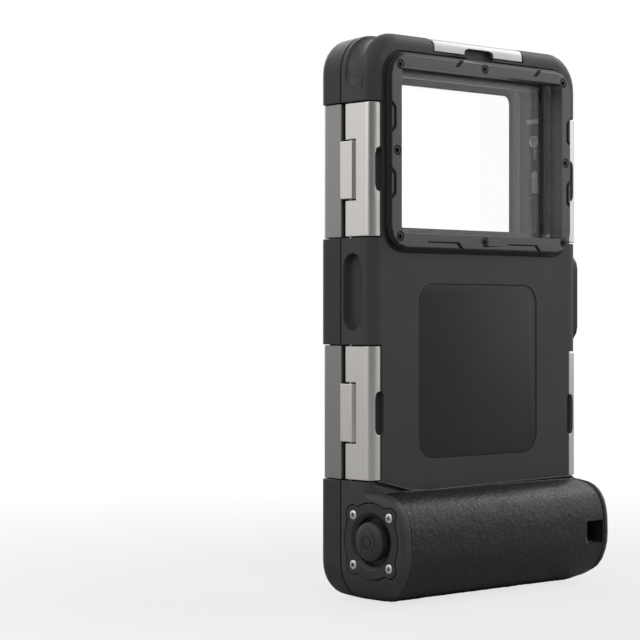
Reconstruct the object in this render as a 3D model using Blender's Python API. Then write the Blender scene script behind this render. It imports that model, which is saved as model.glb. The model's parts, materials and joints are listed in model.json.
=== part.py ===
"""Waterproof phone case: two clamped halves, six lever latches, a camera window and a shutter grip.

The case stands on its bottom face. X runs across it, Y from the screen side (-Y) to the
camera side (+Y) and Z up. Sizes are in metres. Case coordinates have Y = 0 at the seam
between the halves, and the parent empty moves them so that the whole box is centred.
"""

import math

import bmesh
import bpy
from mathutils import Matrix, Vector

# Body
CASE_WIDTH = 0.110
CASE_HEIGHT = 0.200
FRONT_DEPTH = 0.012
REAR_DEPTH = 0.015
CORNER_RADIUS = 0.0137
FRONT_EDGE_RADIUS = 0.0035
REAR_EDGE_RADIUS = 0.0045
FRONT_TAPER = 0.0007
FIT = 0.0003

# Inside walls
GASKET_OUTER_WALL = 0.0003
SIDE_WALL_EXTRA = 0.0017
CAVITY_RADIUS = 0.006
BACK_WALL = 0.003

# Screen side
BEVEL_SIDE_LAND = 0.0013
BEVEL_END_LAND = 0.0031
BEVEL_RADIUS = 0.009
SCREEN_SIDE_LEDGE = 0.0038
SCREEN_END_LEDGE = 0.0045
APERTURE_RADIUS = 0.003
SCREEN_SINK = 0.0044
SCREEN_THICKNESS = 0.003
SCREEN_LAND = 0.0005

# Main gasket between the halves
GASKET_SECTION = 0.002
GASKET_LAND = 0.0022

# Latches: u is outwards from the case side, y as above, z along the latch
LATCH_LENGTH_SHARE = 0.292
LATCH_SHEET = 0.0016
LATCH_INSET = 0.0004
LATCH_CORNER = 0.0029
LEVER_WRAP = 0.0047
PLATE_WRAP_SIDE = 0.0071
PLATE_WRAP_END = 0.0052
KNUCKLE_RADIUS = 0.0022
LATCH_PIN_RADIUS = 0.00075
LATCH_PIN_SEAT = 0.0025
PIN_CLEARANCE = 0.0002
PLATE_SINK = 0.0002
TAB_LENGTH = 0.0203
TAB_SWEEP = 0.0047
TAB_PROUD = 0.0010
TAB_ROOT = 0.0016
TAB_CLEARANCE = 0.0006
FINGER_NOTCH_LENGTH = 0.0153
FINGER_NOTCH_START = 0.0028
FINGER_NOTCH_WIDTH = 0.0036
FINGER_NOTCH_DEPTH = 0.0025
LEFT_UPPER_LATCH_MARGIN = 0.0246
LEFT_LOWER_LATCH_RISE = 0.0008
RIGHT_UPPER_LATCH_MARGIN = 0.0249
RIGHT_LOWER_LATCH_RISE = 0.0041

# Camera window and its bezel
WINDOW_SCREW_GAP = 0.0009
CAMERA_OPENING_RADIUS = 0.002
WINDOW_SIDE_LEDGE = 0.0043
WINDOW_END_LEDGE = 0.0029
LEDGE_SHEET = 0.0016
CAMERA_WINDOW_THICKNESS = 0.003
CAMERA_GASKET_THICKNESS = 0.0007
WINDOW_SINK = 0.0031
BEZEL_SIDE_MARGIN = 0.0067
BEZEL_HEIGHT_SHARE = 0.431
BEZEL_TOP_MARGIN = 0.0070
BEZEL_THICKNESS = 0.0028
BEZEL_FLANK = 0.0012
BEZEL_RADIUS = 0.0085
BEZEL_SKIRT = 0.0005
BEZEL_OPENING_RADIUS = 0.002
BEZEL_SCREW_RADIUS = 0.0016
BEZEL_SCREW_HEAD = 0.0014
BEZEL_SCREW_SOCKET = 0.00065
BEZEL_SCREW_SHANK = 0.0008
BEZEL_SCREW_LENGTH = 0.0052
BEZEL_CORNER_SCREW_INSET = 0.0052
BEZEL_SIDE_SCREW_INSET = 0.0038
BEZEL_UPPER_SCREW_INSET = 0.0046
BEZEL_LOWER_SCREW_INSET = 0.0047
BEZEL_TOP_SCREW_INSET = 0.0029
BEZEL_BOTTOM_SCREW_INSET = 0.0038
BEZEL_GROOVE_WIDTH = 0.0013
BEZEL_GROOVE_DEPTH = 0.0007
BEZEL_GROOVE_RUN = 0.0036
BEZEL_GROOVE_CENTER = 0.0116
BEZEL_GROOVE_STEP = 0.0021
BEZEL_TICK_HEIGHT = 0.0033
BEZEL_TICK_SPACING = 0.0418
BEZEL_TICK_CENTER = 0.0081
BEZEL_LINE_WIDTH = 0.0005
BEZEL_LINE_RUN = 0.0140

# Back panel recess and the finger recesses of the body
PANEL_SIDE_MARGIN = 0.0238
PANEL_GRIP_GAP = 0.0108
PANEL_BEZEL_GAP = 0.0116
PANEL_RADIUS = 0.007
PANEL_DEPTH = 0.0006
SIDE_RECESS_Y_SHARE = 0.387
SIDE_RECESS_WIDTH_SHARE = 0.613
SIDE_RECESS_LOWER_GAP = 0.0052
SIDE_RECESS_UPPER_GAP = 0.0056
SIDE_RECESS_DEPTH = 0.0028
CORNER_GROOVE_WIDTH_SHARE = 0.573
CORNER_GROOVE_Y_SHARE = 0.427
CORNER_GROOVE_MARGIN = 0.0195
CORNER_GROOVE_DEPTH = 0.0018

# Tripod plate
TRIPOD_Y_SHARE = 0.48
TRIPOD_WIDTH_SHARE = 0.84
TRIPOD_LENGTH_SHARE = 0.2155
TRIPOD_PROUD = 0.0020
TRIPOD_SEAT_DEPTH = 0.0014
TRIPOD_RIM = 0.0012
TRIPOD_RIM_HEIGHT = 0.0006
TRIPOD_SCREW_SHARE = 0.631
TRIPOD_SCREW_RADIUS = 0.0019
TRIPOD_SCREW_LENGTH = 0.0062
INSERT_RADIUS = 0.0047
INSERT_BORE_RADIUS = 0.0032
INSERT_LENGTH = 0.0085

# Grip
GRIP_REACH = 0.0308
GRIP_CENTER_SETBACK = 0.002
GRIP_UPPER_HEIGHT = 0.0196
GRIP_LOWER_HEIGHT = 0.0192
GRIP_UPPER_FULLNESS = 3.0
GRIP_LOWER_FULLNESS = 2.0
GRIP_ROOT_Y = 0.006
GRIP_ROOT_STEP = 0.0002
GRIP_END_RADIUS = 0.0022
GRIP_END_LAND = 0.0005
GRIP_CAP_LAND = 0.0024
GRIP_SKIN = 0.0012
GRIP_WALL = 0.0026
SCOOP_DEPTH = 0.0035
SCOOP_REACH = 0.0057
GRIP_POCKET_LEFT_WALL = 0.019
GRIP_POCKET_RIGHT_WALL = 0.010
GRIP_POCKET_SETBACK = 0.0012
GRIP_POCKET_BOTTOM = 0.0080
END_PANEL_Y_SHARE = 0.474
END_PANEL_RISE = 0.00225
END_PANEL_HALF_WIDTH_SHARE = 0.422
END_PANEL_HALF_HEIGHT = 0.01285
END_PANEL_RADIUS = 0.0095
END_PANEL_DEPTH = 0.0008
PASSAGE_HEIGHT = 0.0082
PASSAGE_SETBACK = 0.0120
PASSAGE_SIDE_WIDTH = 0.0060
PASSAGE_RISE = 0.0007
PASSAGE_REAR_MARGIN = 0.0085
PASSAGE_REAR_WIDTH = 0.0093

# Shutter
SHUTTER_Y_SHARE = 0.49
SHUTTER_RISE = 0.0032
SHUTTER_PLATE_SHARE = 0.4286
SHUTTER_PLATE_THICKNESS = 0.0016
SHUTTER_LOBE_SHARE = 0.2576
SHUTTER_SCREW_Y_SHARE = 0.674
SHUTTER_SCREW_Z_SHARE = 0.659
SHUTTER_SCREW_RADIUS = 0.0017
SHUTTER_SCREW_LENGTH = 0.0062
SHUTTER_RING_SHARE = 0.765
SHUTTER_DISH_SHARE = 0.6515
BUTTON_SHARE = 0.519
BUTTON_RIM = 0.0006
BUTTON_PROUD = 0.0020
BUTTON_SKIRT = 0.0024
BUTTON_STEM_RADIUS = 0.0022
BUTTON_TRAVEL = 0.0015
STEM_SETBACK = 0.0010

# Holder inside
TRAY_FACE_Y = 0.004
TRAY_THICKNESS = 0.0017
TRAY_SIDE_GAP = 0.0203
TRAY_LOWER_GAP = 0.0005
TRAY_BEZEL_GAP = 0.0004
TRAY_BOSS_RADIUS = 0.0030
TRAY_SCREW_RADIUS = 0.0021
TRAY_UPPER_SCREW_INSET = 0.0128
TRAY_LOWER_SCREW_INSET = 0.0450
SLIDER_INSET = 0.0050
SLIDER_WIDTH = 0.0080
SLIDER_LENGTH = 0.0270
SLIDER_TRAVEL = 0.004
SLIDER_SHEET = 0.0011
SLIDER_RIB_PITCH = 0.0012
SLIDER_RIB_HEIGHT = 0.0005
SLIDER_RIBS = 6
SLIDER_SCREW_RADIUS = 0.0017
LEFT_SLIDER_SHARE = 0.646
RIGHT_SLIDER_SHARE = 0.626
RACK_INSET = 0.00505
RACK_WIDTH = 0.0055
RACK_LOWER_GAP = 0.0015
RACK_TEETH = 19
RACK_PITCH = 0.00153
RACK_TOOTH = 0.0006
RACK_TOOTH_RISE = 0.2
RACK_TOOTH_LAND = 0.4
RACK_SHEET = 0.0008
SUPPORT_SIDE_GAP = 0.0068
SUPPORT_LOWER_GAP = 0.0020
SUPPORT_HEIGHT = 0.0507
SUPPORT_THICKNESS = 0.0016
SUPPORT_CUT_RIGHT = 0.0020
SUPPORT_RACK_GAP = 0.0022
SUPPORT_LIP_GAP = 0.0009
SUPPORT_LIP_HEIGHT = 0.0022
JAW_TRAY_GAP = 0.0007
JAW_SIDE_GAP = 0.0046
JAW_HEIGHT = 0.0219
JAW_TOP_GAP = 0.0007
JAW_THICKNESS = 0.0016
JAW_LIP = 0.0050
JAW_LIP_WIDTH = 0.0018
WALL_RIB_HEIGHT = 0.0020
WALL_RIB_WIDTH = 0.0012
WALL_RIB_PITCH_SHARE = 0.2273
WALL_RIB_COUNT = 5
HOLDER_EDGE = 0.0005
WALL_RIB_RISE = 0.0005

# Circuit in the grip
BOARD_LEFT = -0.010
BOARD_END_GAP = 0.0014
BOARD_HALF_HEIGHT = 0.0085
BOARD_GAP = 0.0044
BOARD_THICKNESS = 0.0012
CELL_RADIUS = 0.0062
CELL_THICKNESS = 0.0032
CELL_X = 0.0080
SWITCH_LENGTH = 0.0035
SWITCH_HALF = 0.0022
SWITCH_TIP = 0.0009
COVER_LEFT_MARGIN = 0.006
COVER_RIGHT_MARGIN = 0.007
COVER_DROP = 0.0042
COVER_RISE = 0.0118
COVER_THICKNESS = 0.0009
COVER_LEDGE = 0.0015
SPRING_RADIUS = 0.0031
SPRING_WIRE = 0.00028
SPRING_TURNS = 2.5
SPRING_LENGTH = 0.0021
SEAL_SECTION = 0.0011
SEAL_FIT = 0.00015

# Measures worked out from the sizes above
HALF_WIDTH = CASE_WIDTH / 2
SEAM_Y = (FRONT_DEPTH - GRIP_REACH) / 2
LATCH_BAY = LATCH_INSET + 2 * KNUCKLE_RADIUS + 2 * FIT
END_WALL = LATCH_BAY + GASKET_OUTER_WALL + GASKET_SECTION + GASKET_LAND + 2 * FIT
SIDE_WALL = END_WALL + SIDE_WALL_EXTRA
CAVITY_HALF_WIDTH = HALF_WIDTH - SIDE_WALL
BEVEL_SIDE_MARGIN = PLATE_WRAP_SIDE + BEVEL_SIDE_LAND
BEVEL_END_MARGIN = PLATE_WRAP_END + BEVEL_END_LAND
APERTURE_SIDE_MARGIN = SIDE_WALL + SCREEN_SIDE_LEDGE
APERTURE_END_MARGIN = END_WALL + SCREEN_END_LEDGE
SCREEN_FACE_Y = SCREEN_SINK - FRONT_DEPTH
WINDOW_FACE_Y = REAR_DEPTH - WINDOW_SINK
WINDOW_INNER_Y = WINDOW_FACE_Y - CAMERA_WINDOW_THICKNESS
LEDGE_Y = WINDOW_INNER_Y - CAMERA_GASKET_THICKNESS - 2 * FIT
CAMERA_FLOOR_Y = LEDGE_Y - LEDGE_SHEET
GRIP_CENTER_Y = REAR_DEPTH - GRIP_CENTER_SETBACK
GRIP_ROOT_TOP = GRIP_LOWER_HEIGHT + GRIP_UPPER_HEIGHT + GRIP_ROOT_STEP
SPAN = CASE_HEIGHT - GRIP_ROOT_TOP
BEZEL_HALF_WIDTH = HALF_WIDTH - BEZEL_SIDE_MARGIN
BEZEL_TOP = CASE_HEIGHT - BEZEL_TOP_MARGIN
BEZEL_BOTTOM = BEZEL_TOP - SPAN * BEZEL_HEIGHT_SHARE
WINDOW_SCREW_MARGIN = BEZEL_SCREW_SHANK + WINDOW_SCREW_GAP
WINDOW_HALF_WIDTH = BEZEL_HALF_WIDTH - BEZEL_SIDE_SCREW_INSET - WINDOW_SCREW_MARGIN
WINDOW_BOTTOM = BEZEL_BOTTOM + BEZEL_BOTTOM_SCREW_INSET + WINDOW_SCREW_MARGIN
WINDOW_TOP = BEZEL_TOP - BEZEL_TOP_SCREW_INSET - WINDOW_SCREW_MARGIN
CAMERA_OPENING_HALF_WIDTH = WINDOW_HALF_WIDTH - WINDOW_SIDE_LEDGE
CAMERA_OPENING_BOTTOM = WINDOW_BOTTOM + WINDOW_END_LEDGE
CAMERA_OPENING_TOP = WINDOW_TOP - WINDOW_END_LEDGE
BEZEL_FACE_Y = REAR_DEPTH + BEZEL_THICKNESS
PIN_U = -LATCH_INSET - KNUCKLE_RADIUS
PIN_Y = FIT + LATCH_INSET / 2 + KNUCKLE_RADIUS
LATCH_LENGTH = SPAN * LATCH_LENGTH_SHARE
LEFT_UPPER_LATCH_Z = CASE_HEIGHT - LEFT_UPPER_LATCH_MARGIN - LATCH_LENGTH / 2
LEFT_LOWER_LATCH_Z = GRIP_ROOT_TOP + LEFT_LOWER_LATCH_RISE + LATCH_LENGTH / 2
RIGHT_UPPER_LATCH_Z = CASE_HEIGHT - RIGHT_UPPER_LATCH_MARGIN - LATCH_LENGTH / 2
RIGHT_LOWER_LATCH_Z = GRIP_ROOT_TOP + RIGHT_LOWER_LATCH_RISE + LATCH_LENGTH / 2
TRIPOD_Z = (LEFT_UPPER_LATCH_Z + LEFT_LOWER_LATCH_Z) / 2
TRIPOD_Y = REAR_DEPTH * TRIPOD_Y_SHARE
TRIPOD_WIDTH = REAR_DEPTH * TRIPOD_WIDTH_SHARE
TRIPOD_LENGTH = SPAN * TRIPOD_LENGTH_SHARE
TRIPOD_SCREW_SPACING = TRIPOD_LENGTH * TRIPOD_SCREW_SHARE
SIDE_RECESS_Y = REAR_DEPTH * SIDE_RECESS_Y_SHARE
SIDE_RECESS_WIDTH = REAR_DEPTH * SIDE_RECESS_WIDTH_SHARE
SIDE_RECESS_BOTTOM = RIGHT_LOWER_LATCH_Z + LATCH_LENGTH / 2 + SIDE_RECESS_LOWER_GAP
SIDE_RECESS_TOP = RIGHT_UPPER_LATCH_Z - LATCH_LENGTH / 2 - SIDE_RECESS_UPPER_GAP
CORNER_GROOVE_Y = REAR_DEPTH * CORNER_GROOVE_Y_SHARE
CORNER_GROOVE_WIDTH = REAR_DEPTH * CORNER_GROOVE_WIDTH_SHARE
PANEL_HALF_WIDTH = HALF_WIDTH - PANEL_SIDE_MARGIN
PANEL_BOTTOM = GRIP_ROOT_TOP + PANEL_GRIP_GAP
PANEL_TOP = BEZEL_BOTTOM - PANEL_BEZEL_GAP
GRIP_POCKET_Y = REAR_DEPTH - GRIP_POCKET_SETBACK
GRIP_POCKET_LEFT = HALF_WIDTH - GRIP_POCKET_LEFT_WALL
GRIP_POCKET_RIGHT = HALF_WIDTH - GRIP_POCKET_RIGHT_WALL
END_PANEL_Y = GRIP_REACH * END_PANEL_Y_SHARE
END_PANEL_Z = GRIP_LOWER_HEIGHT + END_PANEL_RISE
END_PANEL_HALF_WIDTH = GRIP_REACH * END_PANEL_HALF_WIDTH_SHARE
PASSAGE_Y = GRIP_REACH - PASSAGE_SETBACK
PASSAGE_Z = GRIP_LOWER_HEIGHT + PASSAGE_RISE
PASSAGE_REAR_X = HALF_WIDTH - PASSAGE_REAR_MARGIN
SHUTTER_Y = GRIP_REACH * SHUTTER_Y_SHARE
SHUTTER_Z = GRIP_LOWER_HEIGHT + SHUTTER_RISE
SHUTTER_PLATE_RADIUS = GRIP_REACH * SHUTTER_PLATE_SHARE
SHUTTER_LOBE_RADIUS = SHUTTER_PLATE_RADIUS * SHUTTER_LOBE_SHARE
SHUTTER_SCREW_Y = SHUTTER_PLATE_RADIUS * SHUTTER_SCREW_Y_SHARE
SHUTTER_SCREW_Z = SHUTTER_PLATE_RADIUS * SHUTTER_SCREW_Z_SHARE
SHUTTER_RING_RADIUS = SHUTTER_PLATE_RADIUS * SHUTTER_RING_SHARE
SHUTTER_DISH_RADIUS = SHUTTER_PLATE_RADIUS * SHUTTER_DISH_SHARE
BUTTON_RADIUS = SHUTTER_PLATE_RADIUS * BUTTON_SHARE
TRAY_HALF_WIDTH = CAVITY_HALF_WIDTH - TRAY_SIDE_GAP
TRAY_BOTTOM = END_WALL + TRAY_LOWER_GAP
TRAY_TOP = BEZEL_BOTTOM - TRAY_BEZEL_GAP
TRAY_HEIGHT = TRAY_TOP - TRAY_BOTTOM
SUPPORT_HALF_WIDTH = CAVITY_HALF_WIDTH - SUPPORT_SIDE_GAP
SUPPORT_BOTTOM = END_WALL + SUPPORT_LOWER_GAP
RACK_X = RACK_INSET - TRAY_HALF_WIDTH
RACK_BOTTOM = SUPPORT_BOTTOM + RACK_LOWER_GAP
RACK_TOP = RACK_BOTTOM + RACK_TEETH * RACK_PITCH
JAW_LEFT = TRAY_HALF_WIDTH + JAW_TRAY_GAP
JAW_RIGHT = CAVITY_HALF_WIDTH - JAW_SIDE_GAP
JAW_TOP = TRAY_TOP - JAW_TOP_GAP
JAW_BOTTOM = JAW_TOP - JAW_HEIGHT
BOARD_Y = GRIP_POCKET_Y + BOARD_GAP
COVER_BOTTOM = GRIP_LOWER_HEIGHT - COVER_DROP
COVER_TOP = GRIP_LOWER_HEIGHT + COVER_RISE
COVER_LEFT = COVER_LEFT_MARGIN - GRIP_POCKET_LEFT
COVER_RIGHT = GRIP_POCKET_RIGHT - COVER_RIGHT_MARGIN
ARC_STEPS = 6
BODY_STEPS = 8
SCREW_STEPS = 12
BORE_STEPS = 24
DISH_STEPS = 32
LOBE_STEPS = 60


def arc(center, radius, start, end, steps=ARC_STEPS):
    """Returns points on an arc from start to end, in degrees."""
    points = []
    for index in range(steps + 1):
        angle = math.radians(start + (end - start) * index / steps)
        points.append((center[0] + radius * math.cos(angle), center[1] + radius * math.sin(angle)))
    return points


def rounded_rectangle(half_width, low, high, radius, steps=ARC_STEPS):
    """Returns the outline of a rectangle centred across, from low to high, with round corners."""
    outline = []
    outline += arc((half_width - radius, low + radius), radius, -90, 0, steps)
    outline += arc((half_width - radius, high - radius), radius, 0, 90, steps)
    outline += arc((radius - half_width, high - radius), radius, 90, 180, steps)
    outline += arc((radius - half_width, low + radius), radius, 180, 270, steps)
    return outline


def stadium(center, half_width, half_height, steps=ARC_STEPS):
    """Returns an upright slot outline with round ends."""
    run = half_height - half_width
    outline = arc((center[0], center[1] + run), half_width, 0, 180, steps)
    outline += arc((center[0], center[1] - run), half_width, 180, 360, steps)
    return outline


def circle(center, radius, steps):
    """Returns the points of a circle."""
    return arc(center, radius, 0, 360 * (steps - 1) / steps, steps - 1)


def to_point(axis, outline_point, along):
    """Places a point of an outline at a distance along the axis that the outline faces."""
    first, second = outline_point
    places = {"X": (along, first, second), "Y": (first, along, second), "Z": (first, second, along)}
    return Vector(places[axis])


def mesh_object(name, loops, closed_ring=False):
    """Skins a row of loops into one closed mesh, capped at both ends unless the row is a ring."""
    mesh = bmesh.new()
    rows = []
    for loop in loops:
        rows.append([mesh.verts.new(point) for point in loop])
    pairs = list(zip(rows, rows[1:]))
    if closed_ring:
        pairs.append((rows[-1], rows[0]))
    for lower, upper in pairs:
        count = len(lower)
        for index in range(count):
            following = (index + 1) % count
            mesh.faces.new((lower[index], lower[following], upper[following], upper[index]))
    if not closed_ring:
        mesh.faces.new(rows[0])
        mesh.faces.new(rows[-1])
    bmesh.ops.recalc_face_normals(mesh, faces=mesh.faces)
    data = bpy.data.meshes.new(name)
    mesh.to_mesh(data)
    mesh.free()
    item = bpy.data.objects.new(name, data)
    bpy.context.scene.collection.objects.link(item)
    return item


def prism(name, axis, outline, low, high):
    """Extrudes an outline along an axis."""
    loops = []
    for along in (low, high):
        loops.append([to_point(axis, point, along) for point in outline])
    return mesh_object(name, loops)


def frustum(name, axis, low_outline, low, high_outline, high):
    """Joins two outlines of equal point count into a tapered block."""
    low_loop = [to_point(axis, point, low) for point in low_outline]
    high_loop = [to_point(axis, point, high) for point in high_outline]
    return mesh_object(name, [low_loop, high_loop])


def turned(name, axis, center, profile, steps):
    """Turns a profile of (radius, along) pairs, listed from end to end, about an axis."""
    loops = []
    for radius, along in profile:
        loops.append([to_point(axis, point, along) for point in circle(center, radius, steps)])
    return mesh_object(name, loops)


def turned_ring(name, axis, center, profile, steps):
    """Turns a closed profile that stays clear of the axis, so that it leaves a bore."""
    loops = []
    for radius, along in profile:
        loops.append([to_point(axis, point, along) for point in circle(center, radius, steps)])
    return mesh_object(name, loops, closed_ring=True)


def turned_at(places, axis, profile):
    """Makes one turned cutter at each place, all in one mesh."""
    return gathered([turned("bore", axis, place, profile, SCREW_STEPS) for place in places])


def block(name, low, high):
    """Makes a square block between two corners."""
    outline = [(low[0], low[1]), (high[0], low[1]), (high[0], high[1]), (low[0], high[1])]
    return prism(name, "Z", outline, low[2], high[2])


def combine(target, helper, operation):
    """Adds a Boolean to the target and keeps its helper out of the render."""
    modifier = target.modifiers.new(operation.title(), "BOOLEAN")
    modifier.operation = operation
    modifier.solver = "EXACT"
    modifier.object = helper
    helper.hide_render = True
    helper.display_type = "WIRE"
    helper.parent = target.parent
    return target


def cut(target, *cutters):
    """Takes each cutter away from the target."""
    for cutter in cutters:
        combine(target, cutter, "DIFFERENCE")
    return target


def join(target, *additions):
    """Adds each solid to the target."""
    for addition in additions:
        combine(target, addition, "UNION")
    return target


def gathered(solids):
    """Puts solids that stand apart into one mesh, so that one Boolean cuts or adds them all."""
    mesh = bmesh.new()
    for solid in solids:
        mesh.from_mesh(solid.data)
    mesh.to_mesh(solids[0].data)
    mesh.free()
    for solid in solids[1:]:
        bpy.data.objects.remove(solid)
    return solids[0]


def soften(item, width, steps=2, angle=40):
    """Rounds the sharp edges of an object with a bevel."""
    modifier = item.modifiers.new("Edge", "BEVEL")
    modifier.width = width
    modifier.segments = steps
    modifier.limit_method = "ANGLE"
    modifier.angle_limit = math.radians(angle)
    modifier.use_clamp_overlap = True
    return item


def freeze(item):
    """Replaces an object's mesh by its result with modifiers and removes the helpers."""
    bpy.context.view_layer.update()
    graph = bpy.context.evaluated_depsgraph_get()
    result = bpy.data.meshes.new_from_object(item.evaluated_get(graph))
    helpers = [modifier.object for modifier in item.modifiers if modifier.type == "BOOLEAN"]
    item.modifiers.clear()
    item.data = result
    for helper in helpers:
        bpy.data.objects.remove(helper)
    return item


def smooth(item, angle=35):
    """Shades the round faces smooth and keeps the real edges sharp."""
    item.data.shade_smooth()
    item.data.set_sharp_from_angle(angle=math.radians(angle))
    return item


def finish_material(name, colour, roughness, metallic=0.0):
    """Makes a plain surface finish."""
    material = bpy.data.materials.new(name)
    material.use_nodes = True
    shader = material.node_tree.nodes["Principled BSDF"]
    shader.inputs["Base Color"].default_value = (*colour, 1.0)
    shader.inputs["Roughness"].default_value = roughness
    shader.inputs["Metallic"].default_value = metallic
    return material


def clear_material(name, colour, roughness):
    """Makes a see-through finish."""
    material = finish_material(name, colour, roughness)
    material.node_tree.nodes["Principled BSDF"].inputs["Transmission Weight"].default_value = 1.0
    return material


def dress(item, material, parent):
    """Gives a finished piece its material, its shading and its parent."""
    item.data.materials.clear()
    item.data.materials.append(material)
    smooth(item)
    adopt(item, parent)
    return item


def adopt(item, parent):
    """Parents a piece and its Boolean helpers, all of which are placed in case coordinates."""
    item.parent = parent
    for modifier in item.modifiers:
        if modifier.type == "BOOLEAN":
            modifier.object.parent = parent
    return item


def move_origin(item, origin):
    """Puts an object's origin on its joint's axis without moving its shape."""
    shift = Vector(origin)
    item.data.transform(Matrix.Translation(-shift))
    item.location = shift
    return item


def body_loop(y, inset):
    """Returns the outline of the case at one depth, drawn in by an inset."""
    outline = rounded_rectangle(
        HALF_WIDTH - inset, inset, CASE_HEIGHT - inset, CORNER_RADIUS - inset, BODY_STEPS
    )
    return [to_point("Y", point, y) for point in outline]


def inner_outline(clearance=0.0):
    """Returns the outline of the inside wall, which both halves share."""
    return rounded_rectangle(
        CAVITY_HALF_WIDTH - clearance,
        END_WALL + clearance,
        CASE_HEIGHT - END_WALL - clearance,
        CAVITY_RADIUS - clearance,
    )


def grip_profile(inset):
    """Returns the grip's curve in Y and Z from its underside to the back face, drawn in by an inset."""
    reach = GRIP_REACH - GRIP_CENTER_Y
    curve = []
    for degrees in range(-90, 71, 10):
        turn = math.radians(degrees)
        height, fullness, side = (GRIP_UPPER_HEIGHT, GRIP_UPPER_FULLNESS, 1)
        if degrees < 0:
            height, fullness, side = (GRIP_LOWER_HEIGHT, GRIP_LOWER_FULLNESS, -1)
        across = math.cos(turn) ** (2 / fullness)
        rise = abs(math.sin(turn)) ** (2 / fullness)
        slope = (across ** (fullness - 1) / reach, side * rise ** (fullness - 1) / height)
        normal = Vector(slope).normalized()
        y = GRIP_CENTER_Y + reach * across - normal[0] * inset
        z = GRIP_LOWER_HEIGHT + side * height * rise - normal[1] * inset
        curve.append((y, z))
    curve.append((REAR_DEPTH + FIT, GRIP_ROOT_TOP - inset))
    return curve


def end_roundings(radius, steps=3):
    """Returns (distance from the end, inset) pairs of a rounded end edge."""
    pairs = []
    for index in range(steps + 1):
        turn = math.radians(90 * index / steps)
        pairs.append((radius - radius * math.sin(turn), radius - radius * math.cos(turn)))
    return pairs


def skin_ends(gap):
    """Returns the X of the skin seat's two ends, drawn in by a gap."""
    low = GRIP_END_RADIUS + GRIP_END_LAND + gap - HALF_WIDTH
    high = HALF_WIDTH - GRIP_END_RADIUS - GRIP_CAP_LAND - gap
    return low, high


def grip_core():
    """Makes the moulded grip with flat ends, rounded end edges and a seat for the skin."""
    low, high = skin_ends(0.0)
    seat = GRIP_SKIN + FIT
    ends = end_roundings(GRIP_END_RADIUS)
    stations = sorted((gap - HALF_WIDTH, inset) for gap, inset in ends)
    stations += [(low, 0.0), (low + FIT, seat), (high - FIT, seat), (high, 0.0)]
    stations += sorted((HALF_WIDTH - gap, inset) for gap, inset in ends)
    loops = []
    for x, inset in stations:
        profile = [(GRIP_ROOT_Y, 0.0)] + grip_profile(inset) + [(GRIP_ROOT_Y, GRIP_ROOT_TOP)]
        loops.append([to_point("X", point, x) for point in profile])
    core = mesh_object("grip_core", loops)
    outline = rounded_rectangle(HALF_WIDTH, 0.0, CASE_HEIGHT, CORNER_RADIUS, BODY_STEPS)
    trim = prism("grip_trim", "Y", outline, 0.0, GRIP_REACH + CORNER_RADIUS)
    combine(core, trim, "INTERSECT")
    return freeze(core)


class Side:
    """One side of the case that can carry latches: its turn about Y and its plane's place."""

    def __init__(self, turn, x, z, plate_wrap, proud, pocket_reach):
        self.turn = math.radians(turn)
        self.x = x
        self.z = z
        self.plate_wrap = plate_wrap
        self.proud = proud
        self.pocket_reach = pocket_reach

    def matrix(self, along):
        """Turns a latch's own axes onto this side, centred at a distance along it."""
        x, z = (along, self.z) if self.x is None else (self.x, along)
        return Matrix.Translation((x, 0.0, z)) @ Matrix.Rotation(self.turn, 4, "Y")


OPEN_REACH = REAR_DEPTH + CORNER_RADIUS
RIGHT = Side(0, HALF_WIDTH, None, PLATE_WRAP_SIDE, TAB_PROUD, OPEN_REACH)
LEFT = Side(180, -HALF_WIDTH, None, PLATE_WRAP_SIDE, TAB_PROUD, OPEN_REACH)
TOP = Side(-90, None, CASE_HEIGHT, PLATE_WRAP_END, 0.0, OPEN_REACH)
BOTTOM = Side(90, None, 0.0, PLATE_WRAP_END, 0.0, REAR_DEPTH + 2 * FIT)
LATCHES = {
    "right_upper": (RIGHT, RIGHT_UPPER_LATCH_Z),
    "right_lower": (RIGHT, RIGHT_LOWER_LATCH_Z),
    "left_upper": (LEFT, LEFT_UPPER_LATCH_Z),
    "left_lower": (LEFT, LEFT_LOWER_LATCH_Z),
    "top": (TOP, 0.0),
    "bottom": (BOTTOM, 0.0),
}
LEVER_REAR_Y = REAR_DEPTH - LATCH_INSET / 2
WRAP_END_U = -LATCH_INSET - LEVER_WRAP
SHEET_INNER_U = -LATCH_INSET - LATCH_SHEET
POCKET_OUTER_U = 0.003


def lever_outline():
    """Returns the lever's section: rear wrap, round corner, side sheet and knuckle."""
    corner = (-LATCH_INSET - LATCH_CORNER, LEVER_REAR_Y - LATCH_CORNER)
    outline = [(WRAP_END_U, LEVER_REAR_Y)]
    outline += arc(corner, LATCH_CORNER, 90, 0)
    meet = math.degrees(math.acos((SHEET_INNER_U - PIN_U) / KNUCKLE_RADIUS))
    outline += arc((PIN_U, PIN_Y), KNUCKLE_RADIUS, 0, meet - 360, steps=14)
    outline += arc(corner, LATCH_CORNER - LATCH_SHEET, 0, 90, steps=3)
    outline.append((WRAP_END_U, LEVER_REAR_Y - LATCH_SHEET))
    return outline


def lever_shape():
    """Makes the latch lever, which hooks over the rear edge and turns on its knuckles."""
    half = LATCH_LENGTH / 2
    lever = prism("lever", "Z", lever_outline(), -half, half)
    radius = LATCH_PIN_RADIUS + PIN_CLEARANCE
    bore = turned("bore", "Z", (PIN_U, PIN_Y), [(radius, -half - FIT), (radius, half + FIT)], SCREW_STEPS)
    cut(lever, tab_notch(), bore, finger_notch("finger_notch"))
    freeze(lever)
    return move_origin(lever, (PIN_U, PIN_Y, 0.0))


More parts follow.
